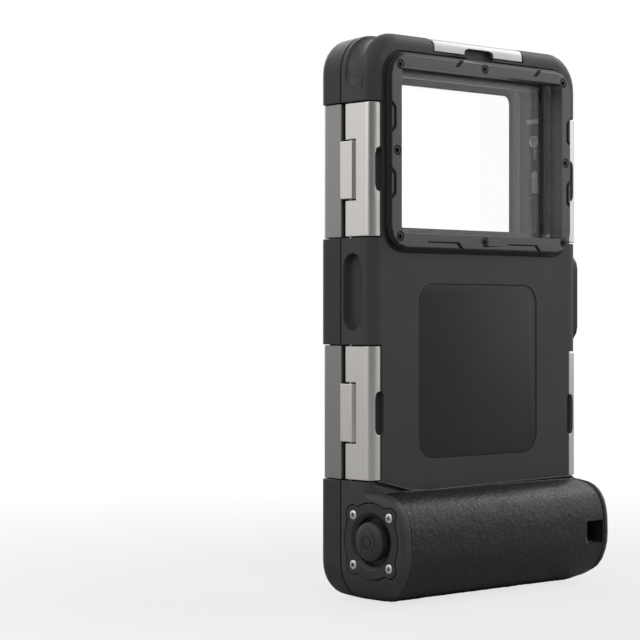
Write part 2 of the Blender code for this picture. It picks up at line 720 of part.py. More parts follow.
def tab_notch():
    """Makes the cutter that clears the tab, round about the pin so that the lever turns past it."""
    sweep = TAB_SWEEP + TAB_CLEARANCE / 2
    outline = [(-CORNER_RADIUS, -REAR_DEPTH), (POCKET_OUTER_U, -REAR_DEPTH), (POCKET_OUTER_U, PIN_Y)]
    outline += arc((PIN_U, PIN_Y), sweep, 0, 90)
    outline.append((-CORNER_RADIUS, PIN_Y + sweep))
    half = TAB_LENGTH / 2 + TAB_CLEARANCE
    return prism("tab_notch", "Z", outline, -half, half)


def finger_notch(name):
    """Makes the cutter of the fingernail slot at a latch's rear edge."""
    half_width = FINGER_NOTCH_WIDTH / 2
    outline = stadium((-FINGER_NOTCH_START - half_width, 0.0), half_width, FINGER_NOTCH_LENGTH / 2)
    loops = []
    for y in (REAR_DEPTH - FINGER_NOTCH_DEPTH, OPEN_REACH):
        loops.append([Vector((u, y, z)) for u, z in outline])
    return mesh_object(name, loops)


def lever_pocket(side):
    """Makes the cutter that seats a lever in the rear shell, with room for its knuckles."""
    half = LATCH_LENGTH / 2 + FIT
    floor_u = SHEET_INNER_U - FIT
    ledge_y = LEVER_REAR_Y - LATCH_SHEET - FIT
    bay_u = PIN_U - KNUCKLE_RADIUS - 2 * FIT
    bay_y = PIN_Y + KNUCKLE_RADIUS + 2 * FIT
    outline = [
        (POCKET_OUTER_U, -FRONT_DEPTH / 2),
        (POCKET_OUTER_U, side.pocket_reach),
        (WRAP_END_U - FIT, side.pocket_reach),
        (WRAP_END_U - FIT, ledge_y),
        (floor_u - LATCH_INSET, ledge_y),
        (floor_u, ledge_y - LATCH_INSET),
        (floor_u, bay_y),
        (bay_u, bay_y),
        (bay_u, -FRONT_DEPTH / 2),
    ]
    return prism("lever_pocket", "Z", outline, -half, half)


def pin_seat():
    """Makes the cutter of the two blind holes that hold a latch pin."""
    half = LATCH_LENGTH / 2 + LATCH_PIN_SEAT + FIT
    radius = LATCH_PIN_RADIUS + PIN_CLEARANCE
    return turned("pin_seat", "Z", (PIN_U, PIN_Y), [(radius, -half), (radius, half)], SCREW_STEPS)


def latch_pin_shape():
    """Makes the straight pin that a lever turns on."""
    half = LATCH_LENGTH / 2 + LATCH_PIN_SEAT
    profile = [
        (LATCH_PIN_RADIUS - FIT, -half),
        (LATCH_PIN_RADIUS, FIT - half),
        (LATCH_PIN_RADIUS, half - FIT),
        (LATCH_PIN_RADIUS - FIT, half),
    ]
    return turned("pin", "Z", (PIN_U, PIN_Y), profile, SCREW_STEPS)


def plate_path(side, depth):
    """Returns the front plate's surface from the seam round the front edge, sunk by a depth."""
    radius = FRONT_EDGE_RADIUS
    corner = (-LATCH_INSET - FRONT_TAPER - radius, -FRONT_DEPTH + PLATE_SINK + radius)
    path = [(-LATCH_INSET - depth, -FIT)]
    path += arc(corner, radius - depth, 0, -90, steps=5)
    path.append((-side.plate_wrap, -FRONT_DEPTH + PLATE_SINK + depth))
    return path


def latch_plate_shape(side):
    """Makes the front plate of a latch with the tab that reaches over the seam."""
    half = LATCH_LENGTH / 2
    outline = plate_path(side, 0.0) + list(reversed(plate_path(side, LATCH_SHEET)))
    plate = prism("plate", "Z", outline, -half, half)
    inner_u = PIN_U + LATCH_PIN_RADIUS + FIT
    outer_u = side.proud - LATCH_INSET
    root_u = -LATCH_INSET - FIT / 2
    tab_outline = [(inner_u, -TAB_ROOT), (root_u, -TAB_ROOT), (root_u, -2 * FIT), (outer_u, FIT)]
    start = math.degrees(math.acos((outer_u - PIN_U) / TAB_SWEEP))
    end = math.degrees(math.acos((inner_u - PIN_U) / TAB_SWEEP))
    tab_outline += arc((PIN_U, PIN_Y), TAB_SWEEP, start, end, steps=4)
    tab = prism("tab", "Z", tab_outline, -TAB_LENGTH / 2, TAB_LENGTH / 2)
    return freeze(join(plate, tab))


def plate_pocket(side):
    """Makes the cutter that seats a front plate in the front frame."""
    half = LATCH_LENGTH / 2 + FIT
    inner = plate_path(side, LATCH_SHEET + FIT)
    end_u = -side.plate_wrap - FIT
    outline = [
        (POCKET_OUTER_U, FRONT_DEPTH / 2),
        (POCKET_OUTER_U, -FRONT_DEPTH - FIT),
        (end_u, -FRONT_DEPTH - FIT),
        (end_u, inner[-1][1]),
    ]
    outline += list(reversed(inner[1:-1]))
    outline.append((inner[0][0], FRONT_DEPTH / 2))
    return prism("plate_pocket", "Z", outline, -half, half)


def at_latch(shape, side, along):
    """Moves a shape from a latch's own axes to its place on the case."""
    shape.data.transform(side.matrix(along))
    return shape


def rear_body():
    """Makes the outside of the rear shell with its rounded rear edge and the grip's core."""
    loops = [body_loop(FIT / 2, 0.0)]
    for gap, inset in end_roundings(REAR_EDGE_RADIUS, steps=5):
        loops.append(body_loop(REAR_DEPTH - gap, inset))
    return freeze(join(mesh_object("rear_shell", loops), grip_core()))


def cavity_cutters():
    """Makes the cutters of the phone's space, shallower behind the camera window."""
    floor_top = BEZEL_BOTTOM - FIT
    deep = rounded_rectangle(CAVITY_HALF_WIDTH, END_WALL, floor_top, CAVITY_RADIUS)
    opening = rounded_rectangle(
        CAMERA_OPENING_HALF_WIDTH, CAMERA_OPENING_BOTTOM, CAMERA_OPENING_TOP, CAMERA_OPENING_RADIUS, steps=2
    )
    rebate = rounded_rectangle(
        WINDOW_HALF_WIDTH + FIT, WINDOW_BOTTOM - FIT, WINDOW_TOP + FIT,
        BEZEL_OPENING_RADIUS + BEZEL_SKIRT + FIT, steps=3,
    )
    return [
        prism("cavity", "Y", inner_outline(), -FRONT_DEPTH, CAMERA_FLOOR_Y),
        prism("deep_cavity", "Y", deep, 0.0, REAR_DEPTH - BACK_WALL),
        prism("camera_opening", "Y", opening, 0.0, OPEN_REACH),
        prism("window_rebate", "Y", rebate, LEDGE_Y, OPEN_REACH),
    ]


def recess_cutters():
    """Makes the cutters of the back panel, the side finger recess and the corner grooves."""
    panel = rounded_rectangle(PANEL_HALF_WIDTH, PANEL_BOTTOM, PANEL_TOP, PANEL_RADIUS)
    middle = (SIDE_RECESS_BOTTOM + SIDE_RECESS_TOP) / 2
    half_length = (SIDE_RECESS_TOP - SIDE_RECESS_BOTTOM) / 2
    slot = stadium((SIDE_RECESS_Y, middle), SIDE_RECESS_WIDTH / 2, half_length)
    floor = stadium((SIDE_RECESS_Y, middle), SIDE_RECESS_WIDTH / 2 - FIT, half_length - FIT)
    return [
        prism("panel_recess", "Y", panel, REAR_DEPTH - PANEL_DEPTH, OPEN_REACH),
        frustum("side_recess", "X", floor, HALF_WIDTH - SIDE_RECESS_DEPTH, slot, HALF_WIDTH + FIT),
        corner_groove(1),
        corner_groove(-1),
    ]


def corner_groove(mirror):
    """Makes the cutter of the scooped groove that runs up one side and over the top corner."""
    center = (HALF_WIDTH - CORNER_RADIUS, CASE_HEIGHT - CORNER_RADIUS)
    stations = [((HALF_WIDTH + FIT, CASE_HEIGHT - CORNER_GROOVE_MARGIN), (1.0, 0.0), 0.0)]
    for x, z in arc(center, CORNER_RADIUS, 0, 90):
        outward = ((x - center[0]) / CORNER_RADIUS, (z - center[1]) / CORNER_RADIUS)
        stations.append(((x, z), outward, CORNER_GROOVE_DEPTH))
    stations.append(((CORNER_RADIUS, CASE_HEIGHT + FIT), (0.0, 1.0), 0.0))
    half = CORNER_GROOVE_WIDTH / 2
    loops = []
    for place, outward, depth in stations:
        section = [(-half, CORNER_GROOVE_DEPTH), (half, CORNER_GROOVE_DEPTH)]
        for across, fall in arc((0.0, 0.0), 1.0, 0, 180):
            section.append((half * across, -depth * fall))
        loop = []
        for across, rise in section:
            x = place[0] + outward[0] * rise
            z = place[1] + outward[1] * rise
            loop.append(Vector((mirror * x, CORNER_GROOVE_Y + across, z)))
        loops.append(loop)
    return mesh_object("corner_groove", loops)


def front_frame():
    """Makes the screen-side frame with its chamfered window, gasket groove and latch seats."""
    loops = []
    straight = FRONT_DEPTH - FRONT_EDGE_RADIUS
    taper = FRONT_TAPER * straight / FRONT_DEPTH
    loops.append(body_loop(-FIT / 2, 0.0))
    for gap, inset in end_roundings(FRONT_EDGE_RADIUS, steps=5):
        loops.append(body_loop(gap - FRONT_DEPTH, taper + inset))
    frame = mesh_object("front_frame", loops)
    bevel = rounded_rectangle(
        HALF_WIDTH - BEVEL_SIDE_MARGIN, BEVEL_END_MARGIN, CASE_HEIGHT - BEVEL_END_MARGIN, BEVEL_RADIUS
    )
    aperture = rounded_rectangle(
        HALF_WIDTH - APERTURE_SIDE_MARGIN, APERTURE_END_MARGIN,
        CASE_HEIGHT - APERTURE_END_MARGIN, APERTURE_RADIUS,
    )
    ledge_y = SCREEN_FACE_Y - FIT
    land_y = ledge_y - SCREEN_LAND
    overshoot = (FRONT_DEPTH + land_y + FIT) / (FRONT_DEPTH + land_y)
    outer = []
    for wide, narrow in zip(bevel, aperture):
        outer.append(tuple(n + (w - n) * overshoot for w, n in zip(wide, narrow)))
    cut(
        frame,
        frustum("bevel", "Y", aperture, land_y, outer, -FRONT_DEPTH - FIT),
        prism("aperture", "Y", aperture, land_y - FIT, 0.0),
        prism("screen_seat", "Y", inner_outline(), ledge_y, FRONT_DEPTH),
        gasket_ring("gasket_groove", FIT, FRONT_DEPTH),
    )
    freeze(frame)
    pockets = [at_latch(plate_pocket(side), side, along) for side, along in LATCHES.values()]
    return cut(frame, gathered(pockets))


def ring_prism(name, outer, inner, low, high):
    """Extrudes the band between two outlines of equal point count along Y."""
    loops = []
    for outline, y in ((outer, low), (outer, high), (inner, high), (inner, low)):
        loops.append([to_point("Y", point, y) for point in outline])
    return mesh_object(name, loops, closed_ring=True)


def gasket_ring(name, growth, rear_y):
    """Makes the band that runs round the phone's space, grown for its groove."""
    inner = inner_outline(-GASKET_LAND - FIT + growth)
    outer = inner_outline(-GASKET_LAND - FIT - GASKET_SECTION - growth)
    return ring_prism(name, outer, inner, -FIT / 2 - GASKET_SECTION - growth, rear_y)


def screen_window():
    """Makes the clear plate of the screen side."""
    low = SCREEN_FACE_Y
    return prism("screen_window", "Y", inner_outline(FIT), low, low + SCREEN_THICKNESS)


def window_outline(clearance):
    """Returns the outline of the camera window, drawn in by a clearance."""
    return rounded_rectangle(
        WINDOW_HALF_WIDTH - clearance, WINDOW_BOTTOM + clearance, WINDOW_TOP - clearance,
        BEZEL_OPENING_RADIUS + BEZEL_SKIRT - clearance, steps=3,
    )


def camera_gasket():
    """Makes the flat seal under the camera window."""
    inner = rounded_rectangle(
        CAMERA_OPENING_HALF_WIDTH + FIT, CAMERA_OPENING_BOTTOM - FIT, CAMERA_OPENING_TOP + FIT,
        CAMERA_OPENING_RADIUS, steps=3,
    )
    low = LEDGE_Y + FIT
    return ring_prism("camera_gasket", window_outline(0.0), inner, low, low + CAMERA_GASKET_THICKNESS)


def camera_window():
    """Makes the clear plate over the cameras."""
    return prism("camera_window", "Y", window_outline(0.0), WINDOW_INNER_Y, WINDOW_FACE_Y)


def bezel_screw_places():
    """Returns the X and Z of the eight bezel screws."""
    places = []
    for mirror in (-1, 1):
        corner_x = mirror * (BEZEL_HALF_WIDTH - BEZEL_CORNER_SCREW_INSET)
        side_x = mirror * (BEZEL_HALF_WIDTH - BEZEL_SIDE_SCREW_INSET)
        places.append((corner_x, BEZEL_TOP - BEZEL_UPPER_SCREW_INSET))
        places.append((corner_x, BEZEL_BOTTOM + BEZEL_LOWER_SCREW_INSET))
        places.append((side_x, (BEZEL_BOTTOM + BEZEL_TOP) / 2))
    places.append((0.0, BEZEL_TOP - BEZEL_TOP_SCREW_INSET))
    places.append((0.0, BEZEL_BOTTOM + BEZEL_BOTTOM_SCREW_INSET))
    return places


def camera_bezel():
    """Makes the bevelled bezel with its skirt, screw seats and engraved grooves."""
    opening = window_outline(BEZEL_SKIRT)
    base_y = REAR_DEPTH + FIT
    outlines = [
        (window_outline(0.0), WINDOW_FACE_Y + FIT),
        (window_outline(0.0), base_y),
        (bezel_outline(0.0), base_y),
        (bezel_outline(0.0), BEZEL_FACE_Y - BEZEL_FLANK),
        (bezel_outline(BEZEL_FLANK), BEZEL_FACE_Y),
        (opening, BEZEL_FACE_Y),
        (opening, WINDOW_FACE_Y + FIT),
    ]
    loops = []
    for outline, y in outlines:
        loops.append([to_point("Y", point, y) for point in outline])
    bezel = mesh_object("camera_bezel", loops, closed_ring=True)
    return cut(bezel, bezel_screw_seats(), gathered(bezel_grooves()))


def bezel_outline(inset):
    """Returns the bezel's outer outline, drawn in by an inset."""
    return rounded_rectangle(
        BEZEL_HALF_WIDTH - inset, BEZEL_BOTTOM + inset, BEZEL_TOP - inset, BEZEL_RADIUS - inset, steps=3
    )


def bezel_screw_seats():
    """Makes the counterbored cutters of the bezel's screws."""
    head = BEZEL_SCREW_RADIUS + FIT / 2
    shank = BEZEL_SCREW_SHANK + FIT / 2
    seat_y = BEZEL_FACE_Y - BEZEL_SCREW_HEAD - FIT / 2
    profile = [(shank, REAR_DEPTH - FIT), (shank, seat_y), (head, seat_y), (head, OPEN_REACH)]
    return turned_at(bezel_screw_places(), "Y", profile)


def bezel_screw_shape():
    """Makes a socket screw at the origin, its head towards +Y."""
    head_y = BEZEL_FACE_Y - FIT / 2
    profile = [
        (BEZEL_SCREW_SHANK, head_y - BEZEL_SCREW_LENGTH),
        (BEZEL_SCREW_SHANK, head_y - BEZEL_SCREW_HEAD),
        (BEZEL_SCREW_RADIUS, head_y - BEZEL_SCREW_HEAD),
        (BEZEL_SCREW_RADIUS, head_y - FIT),
        (BEZEL_SCREW_RADIUS - FIT, head_y),
    ]
    screw = turned("bezel_screw", "Y", (0.0, 0.0), profile, SCREW_STEPS)
    socket_low = head_y - BEZEL_SCREW_HEAD / 2
    socket = prism("socket", "Y", circle((0.0, 0.0), BEZEL_SCREW_SOCKET, 6), socket_low, OPEN_REACH)
    return freeze(cut(screw, socket))


def flank_groove(mirror, middle):
    """Makes a groove that runs down one flank of the bezel and slants out at both ends."""
    edge = BEZEL_HALF_WIDTH
    inner = edge - BEZEL_FLANK - BEZEL_GROOVE_STEP
    outer = inner + BEZEL_GROOVE_WIDTH
    slant = BEZEL_GROOVE_WIDTH * math.sqrt(2)
    half = BEZEL_GROOVE_RUN
    reach = half + edge - inner
    short = half + BEZEL_GROOVE_WIDTH - slant
    outline = [
        (edge, middle - reach),
        (edge, middle - reach + slant),
        (outer, middle - short),
        (outer, middle + short),
        (edge, middle + reach - slant),
        (edge, middle + reach),
        (inner, middle + half),
        (inner, middle - half),
    ]
    outline = [(mirror * x, z) for x, z in outline]
    return prism("flank_groove", "Y", outline, BEZEL_FACE_Y - BEZEL_GROOVE_DEPTH, OPEN_REACH)


def band_tick(center, edge, height):
    """Returns the outline of a slanted groove from the bezel's upper or lower edge inwards."""
    half = BEZEL_GROOVE_WIDTH / math.sqrt(2)
    step = abs(height)
    return [(center - half, edge), (center + half, edge), (center + half + step, edge + height),
            (center - half + step, edge + height)]


def bezel_grooves():
    """Returns the cutters of the bezel's decoration."""
    floor = BEZEL_FACE_Y - BEZEL_GROOVE_DEPTH
    middle = (BEZEL_BOTTOM + BEZEL_TOP) / 2
    grooves = []
    for mirror in (-1, 1):
        grooves.append(flank_groove(mirror, middle + BEZEL_GROOVE_CENTER))
        grooves.append(flank_groove(mirror, middle - BEZEL_GROOVE_CENTER))
        center = mirror * BEZEL_TICK_SPACING / 2 - BEZEL_TICK_CENTER - BEZEL_TICK_HEIGHT / 2
        upper = band_tick(center, BEZEL_TOP, -BEZEL_TICK_HEIGHT)
        lower = band_tick(center, BEZEL_BOTTOM, BEZEL_TICK_HEIGHT)
        turn = lower.pop(2)
        end_x = turn[0] + BEZEL_LINE_RUN
        lower.insert(2, (turn[0] - BEZEL_LINE_WIDTH, turn[1] - BEZEL_LINE_WIDTH))
        lower.insert(3, (end_x, turn[1] - BEZEL_LINE_WIDTH))
        lower.insert(4, (end_x, turn[1]))
        grooves.append(prism("upper_tick", "Y", upper, floor, OPEN_REACH))
        grooves.append(prism("lower_groove", "Y", lower, floor, OPEN_REACH))
    return grooves


def tripod_outline(inset):
    """Returns the tripod plate's outline in Y and Z, drawn in by an inset."""
    half_width = TRIPOD_WIDTH / 2 - inset
    return stadium((TRIPOD_Y, TRIPOD_Z), half_width, TRIPOD_LENGTH / 2 - inset, BODY_STEPS)


def tripod_screw_places():
    """Returns the Y and Z of the two tripod plate screws."""
    half = TRIPOD_SCREW_SPACING / 2
    return [(TRIPOD_Y, TRIPOD_Z + half), (TRIPOD_Y, TRIPOD_Z - half)]


def tripod_plate():
    """Makes the tripod plate with its raised rim, its bore and its screw seats."""
    base = -HALF_WIDTH + TRIPOD_SEAT_DEPTH
    face = -HALF_WIDTH - TRIPOD_PROUD
    floor = face + TRIPOD_RIM_HEIGHT
    loops = [
        [to_point("X", point, base) for point in tripod_outline(0.0)],
        [to_point("X", point, face + TRIPOD_RIM_HEIGHT) for point in tripod_outline(0.0)],
        [to_point("X", point, face) for point in tripod_outline(TRIPOD_RIM_HEIGHT)],
        [to_point("X", point, face) for point in tripod_outline(TRIPOD_RIM)],
        [to_point("X", point, floor) for point in tripod_outline(TRIPOD_RIM + FIT)],
    ]
    plate = mesh_object("tripod_plate", loops)
    bore = INSERT_RADIUS + FIT
    profile = [(bore, face - FIT), (bore, 0.0)]
    cut(plate, turned("insert_bore", "X", (TRIPOD_Y, TRIPOD_Z), profile, BORE_STEPS))
    head = TRIPOD_SCREW_RADIUS + FIT / 2
    shank = TRIPOD_SCREW_RADIUS / 2 + FIT / 2
    seat = floor + TRIPOD_SCREW_RADIUS / 2 + FIT / 2
    profile = [(head, face - FIT), (head, seat), (shank, seat), (shank, 0.0)]
    return cut(plate, turned_at(tripod_screw_places(), "X", profile))


def tripod_insert():
    """Makes the insert that takes a tripod's screw."""
    face = -HALF_WIDTH - TRIPOD_PROUD + TRIPOD_RIM_HEIGHT
    lip = INSERT_BORE_RADIUS + FIT
    profile = [
        (INSERT_RADIUS, face + INSERT_LENGTH),
        (INSERT_RADIUS, face),
        (lip, face),
        (INSERT_BORE_RADIUS, face + FIT),
        (INSERT_BORE_RADIUS, face + INSERT_LENGTH),
    ]
    return turned_ring("tripod_insert", "X", (TRIPOD_Y, TRIPOD_Z), profile, BORE_STEPS)


def tripod_screw_shape():
    """Makes a socket screw that faces -X, with its axis through the origin."""
    face = -HALF_WIDTH - TRIPOD_PROUD + TRIPOD_RIM_HEIGHT
    under = face + TRIPOD_SCREW_RADIUS / 2
    profile = [
        (TRIPOD_SCREW_RADIUS / 2, face + TRIPOD_SCREW_LENGTH),
        (TRIPOD_SCREW_RADIUS / 2, under),
        (TRIPOD_SCREW_RADIUS, under),
        (TRIPOD_SCREW_RADIUS, face),
    ]
    screw = turned("tripod_screw", "X", (0.0, 0.0), profile, SCREW_STEPS)
    outline = circle((0.0, 0.0), TRIPOD_SCREW_RADIUS / 2, 6)
    socket = prism("socket", "X", outline, -CASE_WIDTH, face + FIT * 2)
    return freeze(cut(screw, socket))


def tripod_cutters():
    """Makes the cutters of the tripod plate's seat, insert and screws in the rear shell."""
    base = -HALF_WIDTH + TRIPOD_SEAT_DEPTH + FIT
    insert_end = -HALF_WIDTH - TRIPOD_PROUD + TRIPOD_RIM_HEIGHT + INSERT_LENGTH + FIT
    outside = -CASE_WIDTH
    shank = TRIPOD_SCREW_RADIUS / 2 + FIT / 2
    screw_end = -HALF_WIDTH - TRIPOD_PROUD + TRIPOD_RIM_HEIGHT + TRIPOD_SCREW_LENGTH + FIT
    insert = INSERT_RADIUS + FIT
    cutters = [prism("tripod_seat", "X", tripod_outline(-FIT), outside, base)]
    profile = [(insert, outside), (insert, insert_end)]
    cutters.append(turned("insert_seat", "X", (TRIPOD_Y, TRIPOD_Z), profile, BORE_STEPS))
    cutters.append(turned_at(tripod_screw_places(), "X", [(shank, outside), (shank, screw_end)]))
    return cutters


def skin_seat():
    """Makes the cutter that takes the body's rounded edge out of the skin's way."""
    low, high = skin_ends(FIT / 2)
    inner = grip_profile(GRIP_SKIN + FIT / 2)[:3]
    outline = [(GRIP_CENTER_Y - FIT, -GRIP_WALL), (inner[-1][0], -GRIP_WALL)]
    outline += list(reversed(inner))
    outline.append((GRIP_CENTER_Y - FIT, inner[0][1]))
    return prism("skin_seat", "X", outline, low, high)


def grip_skin():
    """Makes the skin that wraps the grip between its two end faces."""
    low, high = skin_ends(FIT)
    outline = grip_profile(0.0) + list(reversed(grip_profile(GRIP_SKIN)))
    skin = prism("grip_skin", "X", outline, low, high)
    outline = rounded_rectangle(HALF_WIDTH, 0.0, CASE_HEIGHT, CORNER_RADIUS, BODY_STEPS)
    combine(skin, prism("skin_trim", "Y", outline, 0.0, GRIP_REACH + CORNER_RADIUS), "INTERSECT")
    freeze(skin)
    return cut(skin, lanyard_passage(), at_latch(lever_pocket(BOTTOM), BOTTOM, 0.0), bottom_scoop())


def bottom_scoop():
    """Makes the cutter of the fingertip scoop behind the bottom latch."""
    start_y = REAR_DEPTH + FIT
    outline = [(start_y, -SCOOP_DEPTH), (start_y, SCOOP_DEPTH)]
    for degrees in range(75, 0, -15):
        turn = math.radians(degrees)
        outline.append((start_y + SCOOP_REACH * math.cos(turn), SCOOP_DEPTH * math.sin(turn)))
    outline.append((start_y + SCOOP_REACH, -SCOOP_DEPTH))
    half = FINGER_NOTCH_LENGTH / 2
    return prism("bottom_scoop", "X", outline, -half, half)


def lanyard_passage():
    """Makes the cutter of the passage that turns from the grip's side face to its rear."""
    low_y = PASSAGE_Y - PASSAGE_SIDE_WIDTH / 2
    high_y = PASSAGE_Y + PASSAGE_SIDE_WIDTH / 2
    inner_x = PASSAGE_REAR_WIDTH / 2 - PASSAGE_REAR_X
    outer_x = -PASSAGE_REAR_WIDTH / 2 - PASSAGE_REAR_X
    beyond_y = GRIP_REACH + CORNER_RADIUS
    turn = (inner_x - PASSAGE_SIDE_WIDTH, low_y + PASSAGE_SIDE_WIDTH)
    outline = [(-CASE_WIDTH, low_y)]
    outline += arc(turn, PASSAGE_SIDE_WIDTH, -90, 0, steps=5)
    outline += [(inner_x, beyond_y), (outer_x, beyond_y)]
    outline += [(outer_x, high_y + FIT * 3), (outer_x - FIT * 3, high_y)]
    outline.append((-CASE_WIDTH, high_y))
    half = PASSAGE_HEIGHT / 2
    return prism("lanyard_passage", "Z", outline, PASSAGE_Z - half, PASSAGE_Z + half)


def grip_cutters():
    """Makes the cutters of the grip: skin seat, end panel, circuit pocket with its mouth, and passage."""
    panel = [
        (END_PANEL_Y + y, z)
        for y, z in rounded_rectangle(
            END_PANEL_HALF_WIDTH, END_PANEL_Z - END_PANEL_HALF_HEIGHT,
            END_PANEL_Z + END_PANEL_HALF_HEIGHT, END_PANEL_RADIUS,
        )
    ]
    end_panel = prism("end_panel", "X", panel, -CASE_WIDTH, END_PANEL_DEPTH - HALF_WIDTH)
    inset = GRIP_SKIN + FIT + GRIP_WALL
    pocket = [(GRIP_POCKET_Y, GRIP_POCKET_BOTTOM)]
    for y, z in grip_profile(inset):
        if y > GRIP_POCKET_Y and z > GRIP_POCKET_BOTTOM:
            pocket.append((y, z))
    pocket.append((GRIP_POCKET_Y, pocket[-1][1]))
    cover = cover_outline(-FIT)
    mouth = cover_outline(COVER_LEDGE)
    back = REAR_DEPTH - BACK_WALL
    return [
        skin_seat(),
        end_panel,
        prism("circuit_pocket", "X", pocket, -GRIP_POCKET_LEFT, GRIP_POCKET_RIGHT),
        prism("cover_seat", "Y", cover, back - FIT, back + COVER_THICKNESS + FIT),
        prism("pocket_mouth", "Y", mouth, back - FIT, GRIP_POCKET_Y + FIT),
        lanyard_passage(),
    ]


def cover_outline(inset):
    """Returns the battery cover's outline in X and Z, drawn in by an inset."""
    left = COVER_LEFT + inset
    right = COVER_RIGHT - inset
    half = (right - left) / 2
    outline = rounded_rectangle(half, COVER_BOTTOM + inset, COVER_TOP - inset, PANEL_RADIUS / 3, steps=3)
    return [(x + (left + right) / 2, z) for x, z in outline]


def battery_cover():
    """Makes the plate that closes the circuit pocket from inside the case."""
    low = REAR_DEPTH - BACK_WALL
    return prism("battery_cover", "Y", cover_outline(0.0), low, low + COVER_THICKNESS)


def shutter_outline(growth):
    """Returns the four-lobed outline of the shutter plate in Y and Z."""
    outline = []
    lobes = [(y * SHUTTER_SCREW_Y, z * SHUTTER_SCREW_Z) for y in (-1, 1) for z in (-1, 1)]
    lobe_radius = SHUTTER_LOBE_RADIUS + growth
    for step in range(LOBE_STEPS):
        turn = 2 * math.pi * step / LOBE_STEPS
        ray = Vector((math.cos(turn), math.sin(turn)))
        reach = SHUTTER_PLATE_RADIUS + growth
        for lobe in lobes:
            along = ray.dot(Vector(lobe))
            inside = lobe_radius**2 - Vector(lobe).length_squared + along**2
            if along > 0 and inside > 0:
                reach = max(reach, along + math.sqrt(inside))
        outline.append((SHUTTER_Y + ray[0] * reach, SHUTTER_Z + ray[1] * reach))
    return outline


def shutter_screw_places():
    """Returns the Y and Z of the four shutter plate screws."""
    places = []
    for y in (-1, 1):
        for z in (-1, 1):
            places.append((SHUTTER_Y + y * SHUTTER_SCREW_Y, SHUTTER_Z + z * SHUTTER_SCREW_Z))
    return places


BUTTON_RIM_X = HALF_WIDTH + BUTTON_RIM
BUTTON_UNDER_X = BUTTON_RIM_X - BUTTON_SKIRT
BUTTON_FLOOR_X = BUTTON_UNDER_X - BUTTON_TRAVEL - FIT
STEM_END_X = GRIP_POCKET_RIGHT + STEM_SETBACK
SPRING_BORE = SPRING_RADIUS + SPRING_WIRE + FIT
SPRING_TOP_X = BUTTON_FLOOR_X - FIT / 2
SEAL_TOP_X = SPRING_TOP_X - SPRING_LENGTH - FIT
SPRING_FLOOR_X = SEAL_TOP_X - SEAL_SECTION - SEAL_FIT


def shutter_plate():
    """Makes the lobed plate with its dished ring."""
    back = HALF_WIDTH - SHUTTER_PLATE_THICKNESS
    plate = prism("shutter_plate", "X", shutter_outline(0.0), back, HALF_WIDTH)
    center = (SHUTTER_Y, SHUTTER_Z)
    dish = [
        (SHUTTER_DISH_RADIUS, back - FIT),
        (SHUTTER_DISH_RADIUS, back + FIT),
        (SHUTTER_RING_RADIUS, HALF_WIDTH),
        (SHUTTER_RING_RADIUS, HALF_WIDTH + FIT),
    ]
    cut(plate, turned("dish", "X", center, dish, DISH_STEPS))
    head = SHUTTER_SCREW_RADIUS + FIT / 2
    shank = SHUTTER_SCREW_RADIUS / 2 + FIT / 2
    seat = HALF_WIDTH - SHUTTER_PLATE_THICKNESS / 2
    profile = [(shank, back - FIT), (shank, seat), (head, seat), (head, CASE_WIDTH)]
    return cut(plate, turned_at(shutter_screw_places(), "X", profile))


def shutter_screw_shape():
    """Makes a cross-head screw that faces +X, with its axis through the origin."""
    top = HALF_WIDTH
    seat = top - SHUTTER_PLATE_THICKNESS / 2 + FIT / 2
    profile = [
        (SHUTTER_SCREW_RADIUS / 2, top - SHUTTER_SCREW_LENGTH),
        (SHUTTER_SCREW_RADIUS / 2, seat),
        (SHUTTER_SCREW_RADIUS, seat),
        (SHUTTER_SCREW_RADIUS, top - FIT / 2),
        (SHUTTER_SCREW_RADIUS / 2, top + FIT / 2),
    ]
    return turned("shutter_screw", "X", (0.0, 0.0), profile, SCREW_STEPS)


def shutter_cutters():
    """Makes the cutters of the shutter's seat, well, spring bore, stem bore and screw holes."""
    center = (SHUTTER_Y, SHUTTER_Z)
    seat = HALF_WIDTH - SHUTTER_PLATE_THICKNESS - FIT
    stem = BUTTON_STEM_RADIUS + FIT
    bores = [
        (stem, STEM_END_X - BUTTON_TRAVEL - 2 * FIT),
        (stem, SPRING_FLOOR_X),
        (SPRING_BORE, SPRING_FLOOR_X),
        (SPRING_BORE, BUTTON_FLOOR_X),
        (SHUTTER_DISH_RADIUS, BUTTON_FLOOR_X),
        (SHUTTER_DISH_RADIUS, CASE_WIDTH),
    ]
    cutters = [
        prism("shutter_seat", "X", shutter_outline(FIT), seat, CASE_WIDTH),
        turned("button_well", "X", center, bores, DISH_STEPS),
    ]
    shank = SHUTTER_SCREW_RADIUS / 2 + FIT / 2
    low = HALF_WIDTH - SHUTTER_SCREW_LENGTH - FIT
    cutters.append(turned_at(shutter_screw_places(), "X", [(shank, low), (shank, CASE_WIDTH)]))
    return cutters


def shutter_button():
    """Makes the domed button with its stem."""
    profile = [(BUTTON_STEM_RADIUS, STEM_END_X), (BUTTON_STEM_RADIUS, BUTTON_UNDER_X)]
    profile += [(BUTTON_RADIUS - FIT, BUTTON_UNDER_X), (BUTTON_RADIUS, BUTTON_UNDER_X + FIT)]
    rise = BUTTON_PROUD - BUTTON_RIM
    for degrees in range(0, 81, 16):
        turn = math.radians(degrees)
        profile.append((BUTTON_RADIUS * math.cos(turn), BUTTON_RIM_X + rise * math.sin(turn)))
    profile.append((BUTTON_RADIUS / 10, BUTTON_RIM_X + rise))
    button = turned("shutter_button", "X", (SHUTTER_Y, SHUTTER_Z), profile, BORE_STEPS)
    return move_origin(button, (BUTTON_RIM_X, SHUTTER_Y, SHUTTER_Z))


